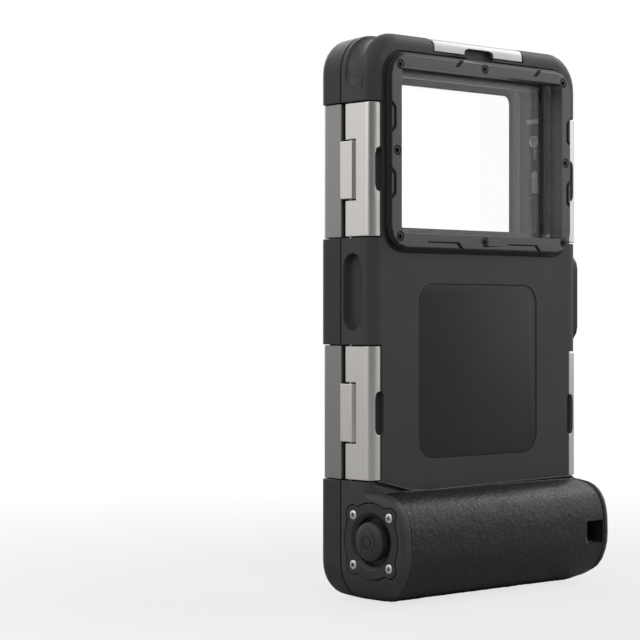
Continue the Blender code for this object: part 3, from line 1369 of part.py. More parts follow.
def shutter_spring():
    """Makes the button's return spring at its pressed length."""
    loops = []
    steps = 12
    run = SPRING_LENGTH - 2 * SPRING_WIRE
    total = int(SPRING_TURNS * steps)
    for index in range(total + 1):
        turn = 2 * math.pi * index / steps
        x = SPRING_TOP_X - SPRING_WIRE - run * index / total
        loop = []
        for side in range(6):
            around = 2 * math.pi * side / 6
            radius = SPRING_RADIUS + SPRING_WIRE * math.cos(around)
            y = SHUTTER_Y + radius * math.cos(turn)
            z = SHUTTER_Z + radius * math.sin(turn)
            loop.append(Vector((x + SPRING_WIRE * math.sin(around), y, z)))
        loops.append(loop)
    return mesh_object("shutter_spring", loops)


def shutter_seal():
    """Makes the ring that seals the button's stem."""
    inner = BUTTON_STEM_RADIUS + SEAL_FIT
    outer = SPRING_BORE - SEAL_FIT
    low = SPRING_FLOOR_X + SEAL_FIT
    quarter = SEAL_SECTION / 4
    profile = [
        (inner, low + quarter), (inner + quarter, low), (outer - quarter, low), (outer, low + quarter),
        (outer, SEAL_TOP_X - quarter), (outer - quarter, SEAL_TOP_X),
        (inner + quarter, SEAL_TOP_X), (inner, SEAL_TOP_X - quarter),
    ]
    return turned_ring("shutter_seal", "X", (SHUTTER_Y, SHUTTER_Z), profile, SCREW_STEPS)


def shutter_switch():
    """Makes the push switch that the stem reaches."""
    tip_end = STEM_END_X - BUTTON_TRAVEL - FIT
    face = tip_end - SWITCH_TIP
    low_y = GRIP_POCKET_Y + FIT
    body = block(
        "shutter_switch",
        (face - SWITCH_LENGTH, low_y, SHUTTER_Z - SWITCH_HALF),
        (face, BOARD_Y - FIT, SHUTTER_Z + SWITCH_HALF),
    )
    profile = [(SWITCH_TIP, face - FIT), (SWITCH_TIP, tip_end)]
    return join(body, turned("tip", "X", (SHUTTER_Y, SHUTTER_Z), profile, SCREW_STEPS))


def circuit_board():
    """Makes the board that carries the switch and the cell."""
    low = SHUTTER_Z - BOARD_HALF_HEIGHT
    high = SHUTTER_Z + BOARD_HALF_HEIGHT
    right = GRIP_POCKET_RIGHT - BOARD_END_GAP
    board = block("circuit_board", (BOARD_LEFT, BOARD_Y, low), (right, BOARD_Y + BOARD_THICKNESS, high))
    return soften(board, FIT, steps=1)


def coin_cell():
    """Makes the stepped coin cell."""
    low = BOARD_Y + BOARD_THICKNESS + FIT
    step = CELL_THICKNESS / 4
    profile = [
        (CELL_RADIUS - step, low),
        (CELL_RADIUS - step, low + step),
        (CELL_RADIUS, low + step),
        (CELL_RADIUS, low + CELL_THICKNESS),
    ]
    return turned("coin_cell", "Y", (CELL_X, SHUTTER_Z), profile, BORE_STEPS)


TRAY_BACK_Y = TRAY_FACE_Y + TRAY_THICKNESS
CAVITY_FLOOR_Y = REAR_DEPTH - BACK_WALL
FLANGE_Y = TRAY_BACK_Y + FIT
SLIDERS = {
    "left": (SLIDER_INSET - TRAY_HALF_WIDTH, TRAY_BOTTOM + TRAY_HEIGHT * LEFT_SLIDER_SHARE),
    "right": (TRAY_HALF_WIDTH - SLIDER_INSET, TRAY_BOTTOM + TRAY_HEIGHT * RIGHT_SLIDER_SHARE),
}


def toothed_rack():
    """Makes the rack as one comb that stands on the tray."""
    base_y = TRAY_FACE_Y - RACK_SHEET
    tip_y = base_y - RACK_TOOTH
    rise = RACK_PITCH * RACK_TOOTH_RISE
    land = RACK_PITCH * RACK_TOOTH_LAND
    outline = [(TRAY_FACE_Y + FIT, RACK_TOP), (TRAY_FACE_Y + FIT, RACK_BOTTOM)]
    for tooth in range(RACK_TEETH):
        low = RACK_BOTTOM + tooth * RACK_PITCH
        outline.append((base_y, low))
        outline.append((tip_y, low + rise))
        outline.append((tip_y, low + rise + land))
        outline.append((base_y, low + rise + land + rise))
    outline.append((base_y, RACK_TOP))
    return prism("rack", "X", outline, RACK_X - RACK_WIDTH / 2, RACK_X + RACK_WIDTH / 2)


def tray_screw_places():
    """Returns the X and Z of the tray's screws."""
    return [(0.0, TRAY_TOP - TRAY_UPPER_SCREW_INSET), (0.0, TRAY_BOTTOM + TRAY_LOWER_SCREW_INSET)]


def holder_tray():
    """Makes the phone's back plate with its bosses, slider windows and rack."""
    outline = rounded_rectangle(TRAY_HALF_WIDTH, TRAY_BOTTOM, TRAY_TOP, 2 * FIT, steps=2)
    tray = prism("holder_tray", "Y", outline, TRAY_FACE_Y, TRAY_BACK_Y)
    boss = [(TRAY_BOSS_RADIUS, TRAY_BACK_Y - FIT), (TRAY_BOSS_RADIUS, CAVITY_FLOOR_Y - FIT)]
    join(tray, turned_at(tray_screw_places(), "Y", boss), toothed_rack())
    head = TRAY_SCREW_RADIUS + FIT / 2
    shank = TRAY_SCREW_RADIUS / 2 + FIT / 2
    seat = TRAY_FACE_Y + TRAY_THICKNESS / 2
    profile = [(head, 0.0), (head, seat), (shank, seat), (shank, REAR_DEPTH)]
    windows = []
    half = SLIDER_WIDTH / 2 + FIT
    for x, z in SLIDERS.values():
        low = z - SLIDER_LENGTH / 2 - SLIDER_TRAVEL - 2 * FIT
        high = z + SLIDER_LENGTH / 2 + FIT
        windows.append(block("slider_window", (x - half, 0.0, low), (x + half, REAR_DEPTH, high)))
    return cut(tray, turned_at(tray_screw_places(), "Y", profile), gathered(windows))


def tray_screw_shape():
    """Makes a flat screw that faces -Y, with its axis through the origin."""
    seat = TRAY_FACE_Y + TRAY_THICKNESS / 2 - FIT / 2
    face = TRAY_FACE_Y + FIT / 2
    profile = [
        (TRAY_SCREW_RADIUS, face),
        (TRAY_SCREW_RADIUS, seat),
        (TRAY_SCREW_RADIUS / 2, seat),
        (TRAY_SCREW_RADIUS / 2, CAVITY_FLOOR_Y + BACK_WALL / 2),
    ]
    return turned("tray_screw", "Y", (0.0, 0.0), profile, SCREW_STEPS)


def lock_slider_shape():
    """Makes a thumb slider about its own centre, with ribs in front and a flange behind the tray."""
    half = SLIDER_WIDTH / 2
    end = SLIDER_LENGTH / 2
    rib_face = TRAY_FACE_Y + FIT / 2
    face = rib_face + SLIDER_RIB_HEIGHT
    body = block("lock_slider", (-half, face, -end), (half, FLANGE_Y + FIT, end))
    flange = block(
        "flange", (-half - SLIDER_SHEET, FLANGE_Y, -end + SLIDER_SHEET),
        (half + SLIDER_SHEET, FLANGE_Y + SLIDER_SHEET, end - SLIDER_SHEET),
    )
    ribs = []
    for mirror in (-1, 1):
        for step in range(SLIDER_RIBS):
            z = mirror * (SLIDER_SCREW_RADIUS + 2 * SLIDER_RIB_PITCH + step * SLIDER_RIB_PITCH)
            width = SLIDER_RIB_PITCH / 4
            outline = [(rib_face, z), (face + FIT, z - width), (face + FIT, z + width)]
            ribs.append(prism("rib", "X", outline, -half + FIT, half - FIT))
    join(body, flange, gathered(ribs))
    head = SLIDER_SCREW_RADIUS + FIT / 2
    shank = SLIDER_SCREW_RADIUS / 2 + FIT / 2
    seat = face + SLIDER_SHEET / 2
    profile = [(head, 0.0), (head, seat), (shank, seat), (shank, REAR_DEPTH)]
    cut(body, turned("screw_seat", "Y", (0.0, 0.0), profile, SCREW_STEPS))
    return freeze(body)


def slider_screw_shape():
    """Makes the flat screw of a thumb slider about its own centre."""
    face = TRAY_FACE_Y + FIT / 2 + SLIDER_RIB_HEIGHT
    seat = face + SLIDER_SHEET / 2 - FIT / 2
    profile = [
        (SLIDER_SCREW_RADIUS, face),
        (SLIDER_SCREW_RADIUS, seat),
        (SLIDER_SCREW_RADIUS / 2, seat),
        (SLIDER_SCREW_RADIUS / 2, FLANGE_Y + 2 * SLIDER_SHEET),
    ]
    return turned("slider_screw", "Y", (0.0, 0.0), profile, SCREW_STEPS)


def bottom_support():
    """Makes the sliding support whose lip carries the phone, cut out round the rack."""
    back = TRAY_FACE_Y - FIT
    front = back - SUPPORT_THICKNESS
    cut_left = -TRAY_HALF_WIDTH
    cut_top = RACK_TOP + SUPPORT_RACK_GAP
    top = SUPPORT_BOTTOM + SUPPORT_HEIGHT
    outline = [
        (-SUPPORT_HALF_WIDTH, SUPPORT_BOTTOM),
        (cut_left, SUPPORT_BOTTOM),
        (cut_left, cut_top),
        (SUPPORT_CUT_RIGHT, cut_top),
        (SUPPORT_CUT_RIGHT, SUPPORT_BOTTOM),
        (SUPPORT_HALF_WIDTH, SUPPORT_BOTTOM),
        (SUPPORT_HALF_WIDTH, top),
        (-SUPPORT_HALF_WIDTH, top),
    ]
    support = prism("bottom_support", "Y", outline, front, back)
    lip_back = TRAY_FACE_Y - RACK_SHEET - RACK_TOOTH - FIT
    lip_front = SCREEN_FACE_Y + SCREEN_THICKNESS + SUPPORT_LIP_GAP
    lip = block(
        "lip", (-SUPPORT_HALF_WIDTH, lip_front, SUPPORT_BOTTOM),
        (SUPPORT_HALF_WIDTH, lip_back, SUPPORT_BOTTOM + SUPPORT_LIP_HEIGHT),
    )
    join(support, soften(lip, HOLDER_EDGE, steps=1))
    return support


def side_clamp():
    """Makes the jaw that holds the phone's side, carried by a tongue behind the tray."""
    jaw = block(
        "side_clamp", (JAW_LEFT, TRAY_FACE_Y, JAW_BOTTOM), (JAW_RIGHT, TRAY_FACE_Y + JAW_THICKNESS, JAW_TOP)
    )
    lip = block(
        "lip", (JAW_RIGHT - JAW_LIP_WIDTH, TRAY_FACE_Y - JAW_LIP, JAW_BOTTOM + JAW_LIP),
        (JAW_RIGHT, TRAY_FACE_Y + FIT, JAW_TOP),
    )
    tongue_z = (JAW_BOTTOM + JAW_TOP) / 2
    half = (JAW_TOP - JAW_BOTTOM) / 4
    tongue = block(
        "tongue", (JAW_LEFT - 2 * JAW_LIP, FLANGE_Y, tongue_z - half),
        (JAW_LEFT + JAW_LIP, FLANGE_Y + JAW_THICKNESS, tongue_z + half),
    )
    web = block(
        "web", (JAW_LEFT + FIT, TRAY_FACE_Y + FIT, tongue_z - half + FIT),
        (JAW_LEFT + JAW_LIP - FIT, FLANGE_Y + FIT, tongue_z + half - FIT),
    )
    return join(jaw, soften(lip, HOLDER_EDGE, steps=1), web, tongue)


def wall_ribs():
    """Makes the ribs of both inside walls beside the camera window."""
    ribs = []
    pitch = (CAMERA_OPENING_TOP - CAMERA_OPENING_BOTTOM) * WALL_RIB_PITCH_SHARE
    for mirror in (-1, 1):
        for step in range(WALL_RIB_COUNT):
            z = CAMERA_OPENING_BOTTOM + WALL_RIB_RISE + step * pitch
            inner = CAVITY_HALF_WIDTH - WALL_RIB_HEIGHT
            outer = CAVITY_HALF_WIDTH + WALL_RIB_HEIGHT
            low_x, high_x = sorted((mirror * inner, mirror * outer))
            ribs.append(
                block("wall_rib", (low_x, FIT / 2, z), (high_x, CAMERA_FLOOR_Y + FIT, z + WALL_RIB_WIDTH))
            )
    return ribs


def latch_cutters():
    """Makes the cutters of the levers' pockets, their pins' seats and their finger slots."""
    pockets = [at_latch(lever_pocket(side), side, along) for side, along in LATCHES.values()]
    seats = [at_latch(pin_seat(), side, along) for side, along in LATCHES.values()]
    slots = [bottom_scoop()]
    for side, along in LATCHES.values():
        if side is not BOTTOM:
            slots.append(at_latch(finger_notch("finger_slot"), side, along))
    return [gathered(pockets), gathered(seats), gathered(slots)]


def rear_shell():
    """Makes the rear shell with every seat, pocket and recess that its pieces need."""
    shell = rear_body()
    cut(shell, *cavity_cutters())
    freeze(shell)
    join(shell, gathered(wall_ribs()))
    cut(shell, *recess_cutters(), *grip_cutters())
    freeze(shell)
    cut(shell, *latch_cutters())
    freeze(shell)
    cut(shell, *tripod_cutters(), *shutter_cutters())
    shank = BEZEL_SCREW_SHANK + FIT / 2
    low = BEZEL_FACE_Y - BEZEL_SCREW_LENGTH - FIT
    cut(shell, turned_at(bezel_screw_places(), "Y", [(shank, low), (shank, OPEN_REACH)]))
    shank = TRAY_SCREW_RADIUS / 2 + FIT / 2
    end = CAVITY_FLOOR_Y + BACK_WALL / 2 + FIT
    return cut(shell, turned_at(tray_screw_places(), "Y", [(shank, 0.0), (shank, end)]))


def copy_of(shape, name, shift):
    """Makes a copy that shares its mesh with the first and stands shifted from it."""
    item = bpy.data.objects.new(name, shape.data)
    bpy.context.scene.collection.objects.link(item)
    item.location = Vector(shift)
    return item


def clear_scene():
    """Removes whatever the file holds at the start."""
    for item in list(bpy.data.objects):
        bpy.data.objects.remove(item)


def make_materials():
    """Makes every finish of the case."""
    return {
        "body": finish_material("body_plastic", (0.052, 0.052, 0.054), 0.55),
        "frame": finish_material("frame_plastic", (0.058, 0.058, 0.060), 0.55),
        "bezel": finish_material("bezel_metal", (0.125, 0.125, 0.128), 0.42, 0.6),
        "latch": finish_material("latch_metal", (0.62, 0.60, 0.58), 0.30, 1.0),
        "clear": clear_material("clear_plate", (0.92, 0.93, 0.94), 0.03),
        "seal": finish_material("seal_rubber", (0.02, 0.02, 0.02), 0.75),
        "skin": finish_material("grip_skin", (0.022, 0.022, 0.022), 0.48),
        "black": finish_material("black_metal", (0.03, 0.03, 0.031), 0.45, 0.4),
        "steel": finish_material("steel", (0.70, 0.70, 0.70), 0.28, 1.0),
        "holder": finish_material("holder_plastic", (0.13, 0.13, 0.135), 0.5),
        "clamp": finish_material("clamp_plastic", (0.045, 0.045, 0.047), 0.5),
        "board": finish_material("board", (0.02, 0.09, 0.04), 0.5),
    }


def build_latches(case, finishes):
    """Places the six sets of lever, front plate and pin."""
    lever = lever_shape()
    pin = latch_pin_shape()
    plates = {}
    for label, (side, along) in LATCHES.items():
        matrix = side.matrix(along)
        turn = (0.0, side.turn, 0.0)
        item = copy_of(lever, "latch_lever_" + label, matrix @ Vector((PIN_U, PIN_Y, 0.0)))
        item.rotation_euler = turn
        dress(item, finishes["latch"], case)
        wrap = side.plate_wrap
        if wrap not in plates:
            plates[wrap] = latch_plate_shape(side)
        plate = copy_of(plates[wrap], "latch_plate_" + label, matrix.translation)
        plate.rotation_euler = turn
        dress(plate, finishes["latch"], case)
        rod = copy_of(pin, "latch_pin_" + label, matrix.translation)
        rod.rotation_euler = turn
        dress(rod, finishes["steel"], case)
    for shape in (lever, pin, *plates.values()):
        bpy.data.objects.remove(shape)


def build_screws(case, finishes):
    """Places every group of screws."""
    groups = (
        ("bezel_screw", bezel_screw_shape(), "black", [(x, 0.0, z) for x, z in bezel_screw_places()]),
        ("tripod_screw", tripod_screw_shape(), "black", [(0.0, y, z) for y, z in tripod_screw_places()]),
        ("shutter_screw", shutter_screw_shape(), "steel", [(0.0, y, z) for y, z in shutter_screw_places()]),
        ("tray_screw", tray_screw_shape(), "steel", [(x, 0.0, z) for x, z in tray_screw_places()]),
    )
    for name, shape, finish, places in groups:
        for index, place in enumerate(places):
            dress(copy_of(shape, f"{name}_{index + 1}", place), finishes[finish], case)
        bpy.data.objects.remove(shape)


def build_sliders(case, finishes):
    """Places the two thumb sliders and their screws."""
    slider = lock_slider_shape()
    screw = slider_screw_shape()
    for label, (x, z) in SLIDERS.items():
        dress(copy_of(slider, "lock_slider_" + label, (x, 0.0, z)), finishes["holder"], case)
        dress(copy_of(screw, "slider_screw_" + label, (x, 0.0, z)), finishes["steel"], case)
    bpy.data.objects.remove(slider)
    bpy.data.objects.remove(screw)


def main():
    """Builds the case."""
    clear_scene()
    finishes = make_materials()
    case = bpy.data.objects.new("case", None)
    bpy.context.scene.collection.objects.link(case)
    case.location = (0.0, SEAM_Y, 0.0)
    pieces = (
        (rear_shell(), "body"),
        (front_frame(), "frame"),
        (screen_window(), "clear"),
        (gasket_ring("main_gasket", 0.0, -FIT / 2), "seal"),
        (camera_gasket(), "seal"),
        (camera_window(), "clear"),
        (camera_bezel(), "bezel"),
        (tripod_plate(), "black"),
        (tripod_insert(), "black"),
        (grip_skin(), "skin"),
        (battery_cover(), "clamp"),
        (shutter_plate(), "body"),
        (shutter_button(), "body"),
        (shutter_spring(), "steel"),
        (shutter_seal(), "seal"),
        (shutter_switch(), "black"),
        (circuit_board(), "board"),
        (coin_cell(), "steel"),
        (holder_tray(), "holder"),
        (bottom_support(), "clamp"),
        (side_clamp(), "clamp"),
    )
    for item, finish in pieces:
        dress(item, finishes[finish], case)
    build_latches(case, finishes)
    build_screws(case, finishes)
    build_sliders(case, finishes)
    bpy.context.view_layer.update()


main()
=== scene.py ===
"""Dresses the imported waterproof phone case: its finishes, its fine pieces, the light and the camera.

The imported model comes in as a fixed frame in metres, with +Z up, -Y towards the screen side
and +Y towards the camera side. Every new piece rides on one of the frame's bodies.
"""

from __future__ import annotations

import json
import logging
import math
from contextlib import contextmanager
from dataclasses import dataclass, field
from enum import Enum
from typing import Callable, Iterator, Sequence

import bpy
from mathutils import Matrix, Vector

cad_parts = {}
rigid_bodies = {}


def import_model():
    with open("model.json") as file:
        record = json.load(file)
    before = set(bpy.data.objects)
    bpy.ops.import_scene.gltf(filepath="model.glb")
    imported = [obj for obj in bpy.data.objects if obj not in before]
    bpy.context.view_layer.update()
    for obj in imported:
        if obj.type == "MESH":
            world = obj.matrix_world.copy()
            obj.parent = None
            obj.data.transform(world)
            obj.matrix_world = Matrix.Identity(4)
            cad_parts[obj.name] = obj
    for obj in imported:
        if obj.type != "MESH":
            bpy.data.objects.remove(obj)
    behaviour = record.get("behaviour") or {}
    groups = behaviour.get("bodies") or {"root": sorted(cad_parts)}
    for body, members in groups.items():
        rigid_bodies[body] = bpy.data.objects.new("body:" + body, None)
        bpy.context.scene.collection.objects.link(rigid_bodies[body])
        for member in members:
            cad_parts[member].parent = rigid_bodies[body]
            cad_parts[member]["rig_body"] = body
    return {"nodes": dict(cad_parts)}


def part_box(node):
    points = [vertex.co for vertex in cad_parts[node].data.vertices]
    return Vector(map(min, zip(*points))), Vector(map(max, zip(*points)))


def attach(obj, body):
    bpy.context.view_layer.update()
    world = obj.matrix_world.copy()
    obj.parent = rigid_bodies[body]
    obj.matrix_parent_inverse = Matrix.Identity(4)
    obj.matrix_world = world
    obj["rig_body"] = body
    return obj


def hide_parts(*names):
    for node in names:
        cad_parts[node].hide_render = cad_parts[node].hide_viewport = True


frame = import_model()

MILLIMETRE = 0.001
MERGE_DISTANCE = 1e-6
SEAM_Y = -0.0094
BACK_Y = 0.0056
ORIGIN = (0.0, 0.0, 0.0)
FLAT_ANGLE = math.radians(0.5)
NOISE_SPREAD = (0.3, 0.7)
LOG = logging.getLogger("phone_case")

Colour = tuple[float, float, float]
Item = bpy.types.Object
Place = Sequence[float]
Socket = bpy.types.NodeSocket


class Axis(Enum):
    """A direction of the case that a screw, a brushing line or a turned piece follows."""

    X = (1.0, 0.0, 0.0)
    MINUS_X = (-1.0, 0.0, 0.0)
    Y = (0.0, 1.0, 0.0)
    MINUS_Y = (0.0, -1.0, 0.0)
    Z = (0.0, 0.0, 1.0)

    @property
    def vector(self) -> Vector:
        """Returns the direction as a vector."""
        return Vector(self.value)

    @property
    def turn(self) -> Matrix:
        """Returns the matrix that turns +Z onto this direction."""
        return self.vector.to_track_quat("Z", "Y").to_matrix().to_4x4()


class Nodes:
    """A node tree while it is laid out."""

    def __init__(self, tree: bpy.types.NodeTree) -> None:
        """Takes the tree that gets the nodes."""
        self.tree = tree

    def add(self, kind: str, **settings: object) -> bpy.types.Node:
        """Adds a node and sets its own properties.

        Args:
            kind: The node's type name.
            settings: Properties of the node, such as its operation.

        Returns:
            The new node.
        """
        node = self.tree.nodes.new(kind)
        for key, value in settings.items():
            setattr(node, key, value)
        return node

    def feed(self, target: Socket, value: Socket | float | Place) -> None:
        """Links an output to an input, or sets the input's own value.

        Args:
            target: The input.
            value: The output or the plain value.
        """
        if isinstance(value, Socket):
            self.tree.links.new(value, target)
        else:
            target.default_value = value

    def math(self, operation: str, first: Socket | float, second: Socket | float) -> Socket:
        """Combines two values.

        Args:
            operation: What is done with them.
            first: The first value.
            second: The second value.

        Returns:
            The result.
        """
        node = self.add("ShaderNodeMath", operation=operation)
        self.feed(node.inputs[0], first)
        self.feed(node.inputs[1], second)
        return node.outputs[0]

    def ranged(
        self, value: Socket, low: float, high: float, to_low: float = 0.0, to_high: float = 1.0
    ) -> Socket:
        """Maps a value's range onto another range and holds it there.

        Args:
            value: The value to map.
            low: The value that becomes to_low.
            high: The value that becomes to_high.
            to_low: The first result.
            to_high: The last result.

        Returns:
            The mapped value.
        """
        node = self.add("ShaderNodeMapRange")
        ends = {"From Min": low, "From Max": high, "To Min": to_low, "To Max": to_high}
        for name, number in {"Value": value, **ends}.items():
            self.feed(node.inputs[name], number)
        return node.outputs["Result"]


class Pattern(Nodes):
    """A material's nodes, from the object's own coordinates to its shader."""

    def __init__(self, name: str, colour: Colour, roughness: float) -> None:
        """Starts a material with its uniform values.

        Args:
            name: The material's name.
            colour: The base colour, linear.
            roughness: The roughness from 0 to 1.
        """
        self.material = bpy.data.materials.new(name)
        self.material.use_nodes = True
        super().__init__(self.material.node_tree)
        self.shader = self.tree.nodes["Principled BSDF"]
        self.place: Socket = self.add("ShaderNodeTexCoord").outputs["Object"]
        self.set("Base Color", (*colour, 1.0))
        self.set("Roughness", roughness)

    def set(self, name: str, value: Socket | float | Place) -> None:
        """Gives one of the shader's inputs a plain value or a pattern."""
        self.feed(self.shader.inputs[name], value)

    def stretched(self, scale: Place) -> Socket:
        """Stretches the object's coordinates.

        Args:
            scale: The scale along each axis.

        Returns:
            The stretched coordinates.
        """
        mapping = self.add("ShaderNodeMapping")
        self.feed(mapping.inputs["Scale"], tuple(scale))
        self.feed(mapping.inputs["Vector"], self.place)
        return mapping.outputs["Vector"]

    def noise(self, size_mm: float, detail: float = 2.0, stretch: Place = (1.0, 1.0, 1.0)) -> Socket:
        """Adds a noise.

        Args:
            size_mm: The size of its features in millimetres.
            detail: The number of finer octaves.
            stretch: The scale along each axis.

        Returns:
            The noise's value.
        """
        node = self.add("ShaderNodeTexNoise")
        self.feed(node.inputs["Scale"], 1.0 / (size_mm * MILLIMETRE))
        self.feed(node.inputs["Detail"], detail)
        self.feed(node.inputs["Vector"], self.stretched(stretch))
        return node.outputs["Fac"]

    def colours(self, factor: Socket, low: Colour, high: Colour) -> Socket:
        """Blends two colours.

        Args:
            factor: The pattern that blends them.
            low: The colour where it is 0.
            high: The colour where it is 1.

        Returns:
            The blended colour.
        """
        node = self.add("ShaderNodeMix", data_type="RGBA")
        for index, value in ((0, factor), (6, (*low, 1.0)), (7, (*high, 1.0))):
            self.feed(node.inputs[index], value)
        return node.outputs[2]

    def emboss(self, height: Socket, depth_mm: float, strength: float) -> None:
        """Raises the surface by a height pattern, over any earlier one.

        Args:
            height: The height pattern from 0 to 1.
            depth_mm: The height in millimetres that 1 stands for.
            strength: The share of the effect.
        """
        node = self.add("ShaderNodeBump")
        self.feed(node.inputs["Distance"], depth_mm * MILLIMETRE)
        self.feed(node.inputs["Strength"], strength)
        self.feed(node.inputs["Height"], height)
        for earlier in self.shader.inputs["Normal"].links:
            self.feed(node.inputs["Normal"], earlier.from_socket)
        self.set("Normal", node.outputs["Normal"])

    def split(self, place: Socket) -> bpy.types.NodeOutputs:
        """Splits coordinates.

        Args:
            place: The coordinates.

        Returns:
            The outputs X, Y and Z.
        """
        node = self.add("ShaderNodeSeparateXYZ")
        self.feed(node.inputs[0], place)
        return node.outputs


def shade(colour: Colour, factor: float) -> Colour:
    """Returns a colour made lighter or darker by a factor."""
    red, green, blue = (min(1.0, part * factor) for part in colour)
    return (red, green, blue)


@dataclass(frozen=True)
class Finish:
    """A finish of the case. Each kind lays its own pattern over the plain colour."""

    name: str
    colour: Colour
    roughness: float = 0.5

    def material(self) -> bpy.types.Material:
        """Makes the finish's material.

        Returns:
            The material.
        """
        pattern = Pattern(self.name, self.colour, self.roughness)
        self.lay_out(pattern)
        return pattern.material

    def lay_out(self, pattern: Pattern) -> None:
        """Lays out the pattern, which is none here."""

    def tint(self, pattern: Pattern, factor: Socket, low: float, high: float) -> None:
        """Paints the colour, made darker or lighter between two shares by a pattern's factor."""
        pattern.set("Base Color", pattern.colours(factor, shade(self.colour, low), shade(self.colour, high)))


@dataclass(frozen=True)
class MouldedPlastic(Finish):
    """Moulded plastic with a spark-eroded texture and slight unevenness."""

    texture_mm: float = 0.45
    depth_mm: float = 0.02
    gloss: float = 0.3
    strength: float = 0.5
    grain_spread: tuple[float, float] = (0.25, 0.75)
    cloud_mm: float = 18.0
    tone: float = 0.07
    wear: float = 0.06

    def lay_out(self, pattern: Pattern) -> None:
        """Lays out a fine grain and a soft cloud.

        Args:
            pattern: The material's nodes.
        """
        pattern.set("Specular IOR Level", self.gloss)
        cloud = pattern.ranged(pattern.noise(self.cloud_mm), *NOISE_SPREAD)
        grain = pattern.noise(self.texture_mm)
        ends = (self.roughness - self.wear, self.roughness + self.wear)
        self.tint(pattern, cloud, 1.0 - self.tone, 1.0 + self.tone)
        pattern.set("Roughness", pattern.ranged(grain, *self.grain_spread, *ends))
        pattern.emboss(grain, self.depth_mm, self.strength)


@dataclass(frozen=True)
class SatinMetal(Finish):
    """Metal brushed along one axis under a satin finish."""

    metallic: float = 1.0
    brushing: Axis = Axis.Z
    line_mm: float = 0.25
    line_stretch: float = 0.02
    line_detail: float = 4.0
    line_share: float = 0.6
    line_relief: tuple[float, float] = (0.003, 0.35)
    cloud_mm: float = 9.0
    tone: float = 0.03
    wear: float = 0.04

    def lay_out(self, pattern: Pattern) -> None:
        """Lays out brushed lines under a soft cloud.

        Args:
            pattern: The material's nodes.
        """
        pattern.set("Metallic", self.metallic)
        stretch = [1.0 if abs(part) < 0.5 else self.line_stretch for part in self.brushing.vector]
        lines = pattern.noise(self.line_mm, self.line_detail, stretch)
        self.tint(pattern, pattern.ranged(lines, *NOISE_SPREAD), 1.0 - self.tone, 1.0 + self.tone)
        brushed = pattern.math("MULTIPLY", lines, self.line_share)
        clouded = pattern.math("MULTIPLY", pattern.noise(self.cloud_mm), 1.0 - self.line_share)
        ends = (self.roughness - self.wear, self.roughness + self.wear)
        uneven = pattern.math("ADD", brushed, clouded)
        pattern.set("Roughness", pattern.ranged(uneven, *NOISE_SPREAD, *ends))
        pattern.emboss(lines, *self.line_relief)


@dataclass(frozen=True)
class GrainedLeather(Finish):
    """Embossed leather grain: creased cells with fine pores on their tops."""

    cell_mm: float = 1.9
    warp_scale: float = 260.0
    warp: float = 0.0016
    crease: float = 0.28
    crease_relief: tuple[float, float] = (0.08, 0.5)
    crease_wear: float = 0.14
    # The creases are painted darker than the cells' faces, as shade.
    crease_painted_shade: float = 0.6
    top_tone: float = 1.12
    pore_mm: float = 0.3
    pore_relief: tuple[float, float] = (0.03, 0.35)
    fold_mm: float = 7.0
    fold_relief: tuple[float, float] = (0.35, 0.35)

    def lay_out(self, pattern: Pattern) -> None:
        """Lays out the cells over soft folds, with pores.

        Args:
            pattern: The material's nodes.
        """
        warp = pattern.add("ShaderNodeTexNoise")
        pattern.feed(warp.inputs["Scale"], self.warp_scale)
        pattern.feed(warp.inputs["Vector"], pattern.place)
        bend = pattern.add("ShaderNodeVectorMath", operation="MULTIPLY_ADD")
        for target, value in zip(bend.inputs, (warp.outputs["Color"], (self.warp,) * 3, pattern.place)):
            pattern.feed(target, value)
        creases = pattern.add("ShaderNodeTexVoronoi", feature="DISTANCE_TO_EDGE")
        pattern.feed(creases.inputs["Scale"], 1.0 / (self.cell_mm * MILLIMETRE))
        pattern.feed(creases.inputs["Vector"], bend.outputs[0])
        cushion = pattern.ranged(creases.outputs["Distance"], 0.0, self.crease)
        # Paints the creases darker than the cells' faces, as shade.
        self.tint(pattern, cushion, self.crease_painted_shade, self.top_tone)
        ends = (self.roughness + self.crease_wear, self.roughness)
        pattern.set("Roughness", pattern.ranged(cushion, 0.0, 1.0, *ends))
        pattern.emboss(pattern.noise(self.fold_mm, 3.0), *self.fold_relief)
        pattern.emboss(cushion, *self.crease_relief)
        pattern.emboss(pattern.noise(self.pore_mm), *self.pore_relief)


@dataclass(frozen=True)
class ClearPlate(Finish):
    """Clear moulded plate with a hard, faintly rippled surface."""

    roughness: float = 0.012
    refraction: float = 1.30
    haze_mm: float = 22.0
    haze: float = 2.5
    ripple_mm: float = 30.0
    ripple_relief: tuple[float, float] = (0.02, 0.15)

    def lay_out(self, pattern: Pattern) -> None:
        """Lays out a faint haze and a wide ripple.

        Args:
            pattern: The material's nodes.
        """
        pattern.set("Transmission Weight", 1.0)
        pattern.set("IOR", self.refraction)
        ends = (self.roughness, self.roughness * self.haze)
        pattern.set("Roughness", pattern.ranged(pattern.noise(self.haze_mm), *NOISE_SPREAD, *ends))
        pattern.emboss(pattern.noise(self.ripple_mm, 1.0), *self.ripple_relief)


@dataclass(frozen=True)
class SealRubber(Finish):
    """Soft black rubber with a dusty bloom."""

    roughness: float = 0.78
    bloom_mm: float = 3.0
    bloom_spread: tuple[float, float] = (0.35, 0.75)
    bloom_tone: float = 1.8
    grain_mm: float = 0.5
    grain_relief: tuple[float, float] = (0.02, 0.4)

    def lay_out(self, pattern: Pattern) -> None:
        """Lays out the bloom and a fine grain.

        Args:
            pattern: The material's nodes.
        """
        bloom = pattern.ranged(pattern.noise(self.bloom_mm, 4.0), *self.bloom_spread)
        self.tint(pattern, bloom, 1.0, self.bloom_tone)
        pattern.emboss(pattern.noise(self.grain_mm), *self.grain_relief)


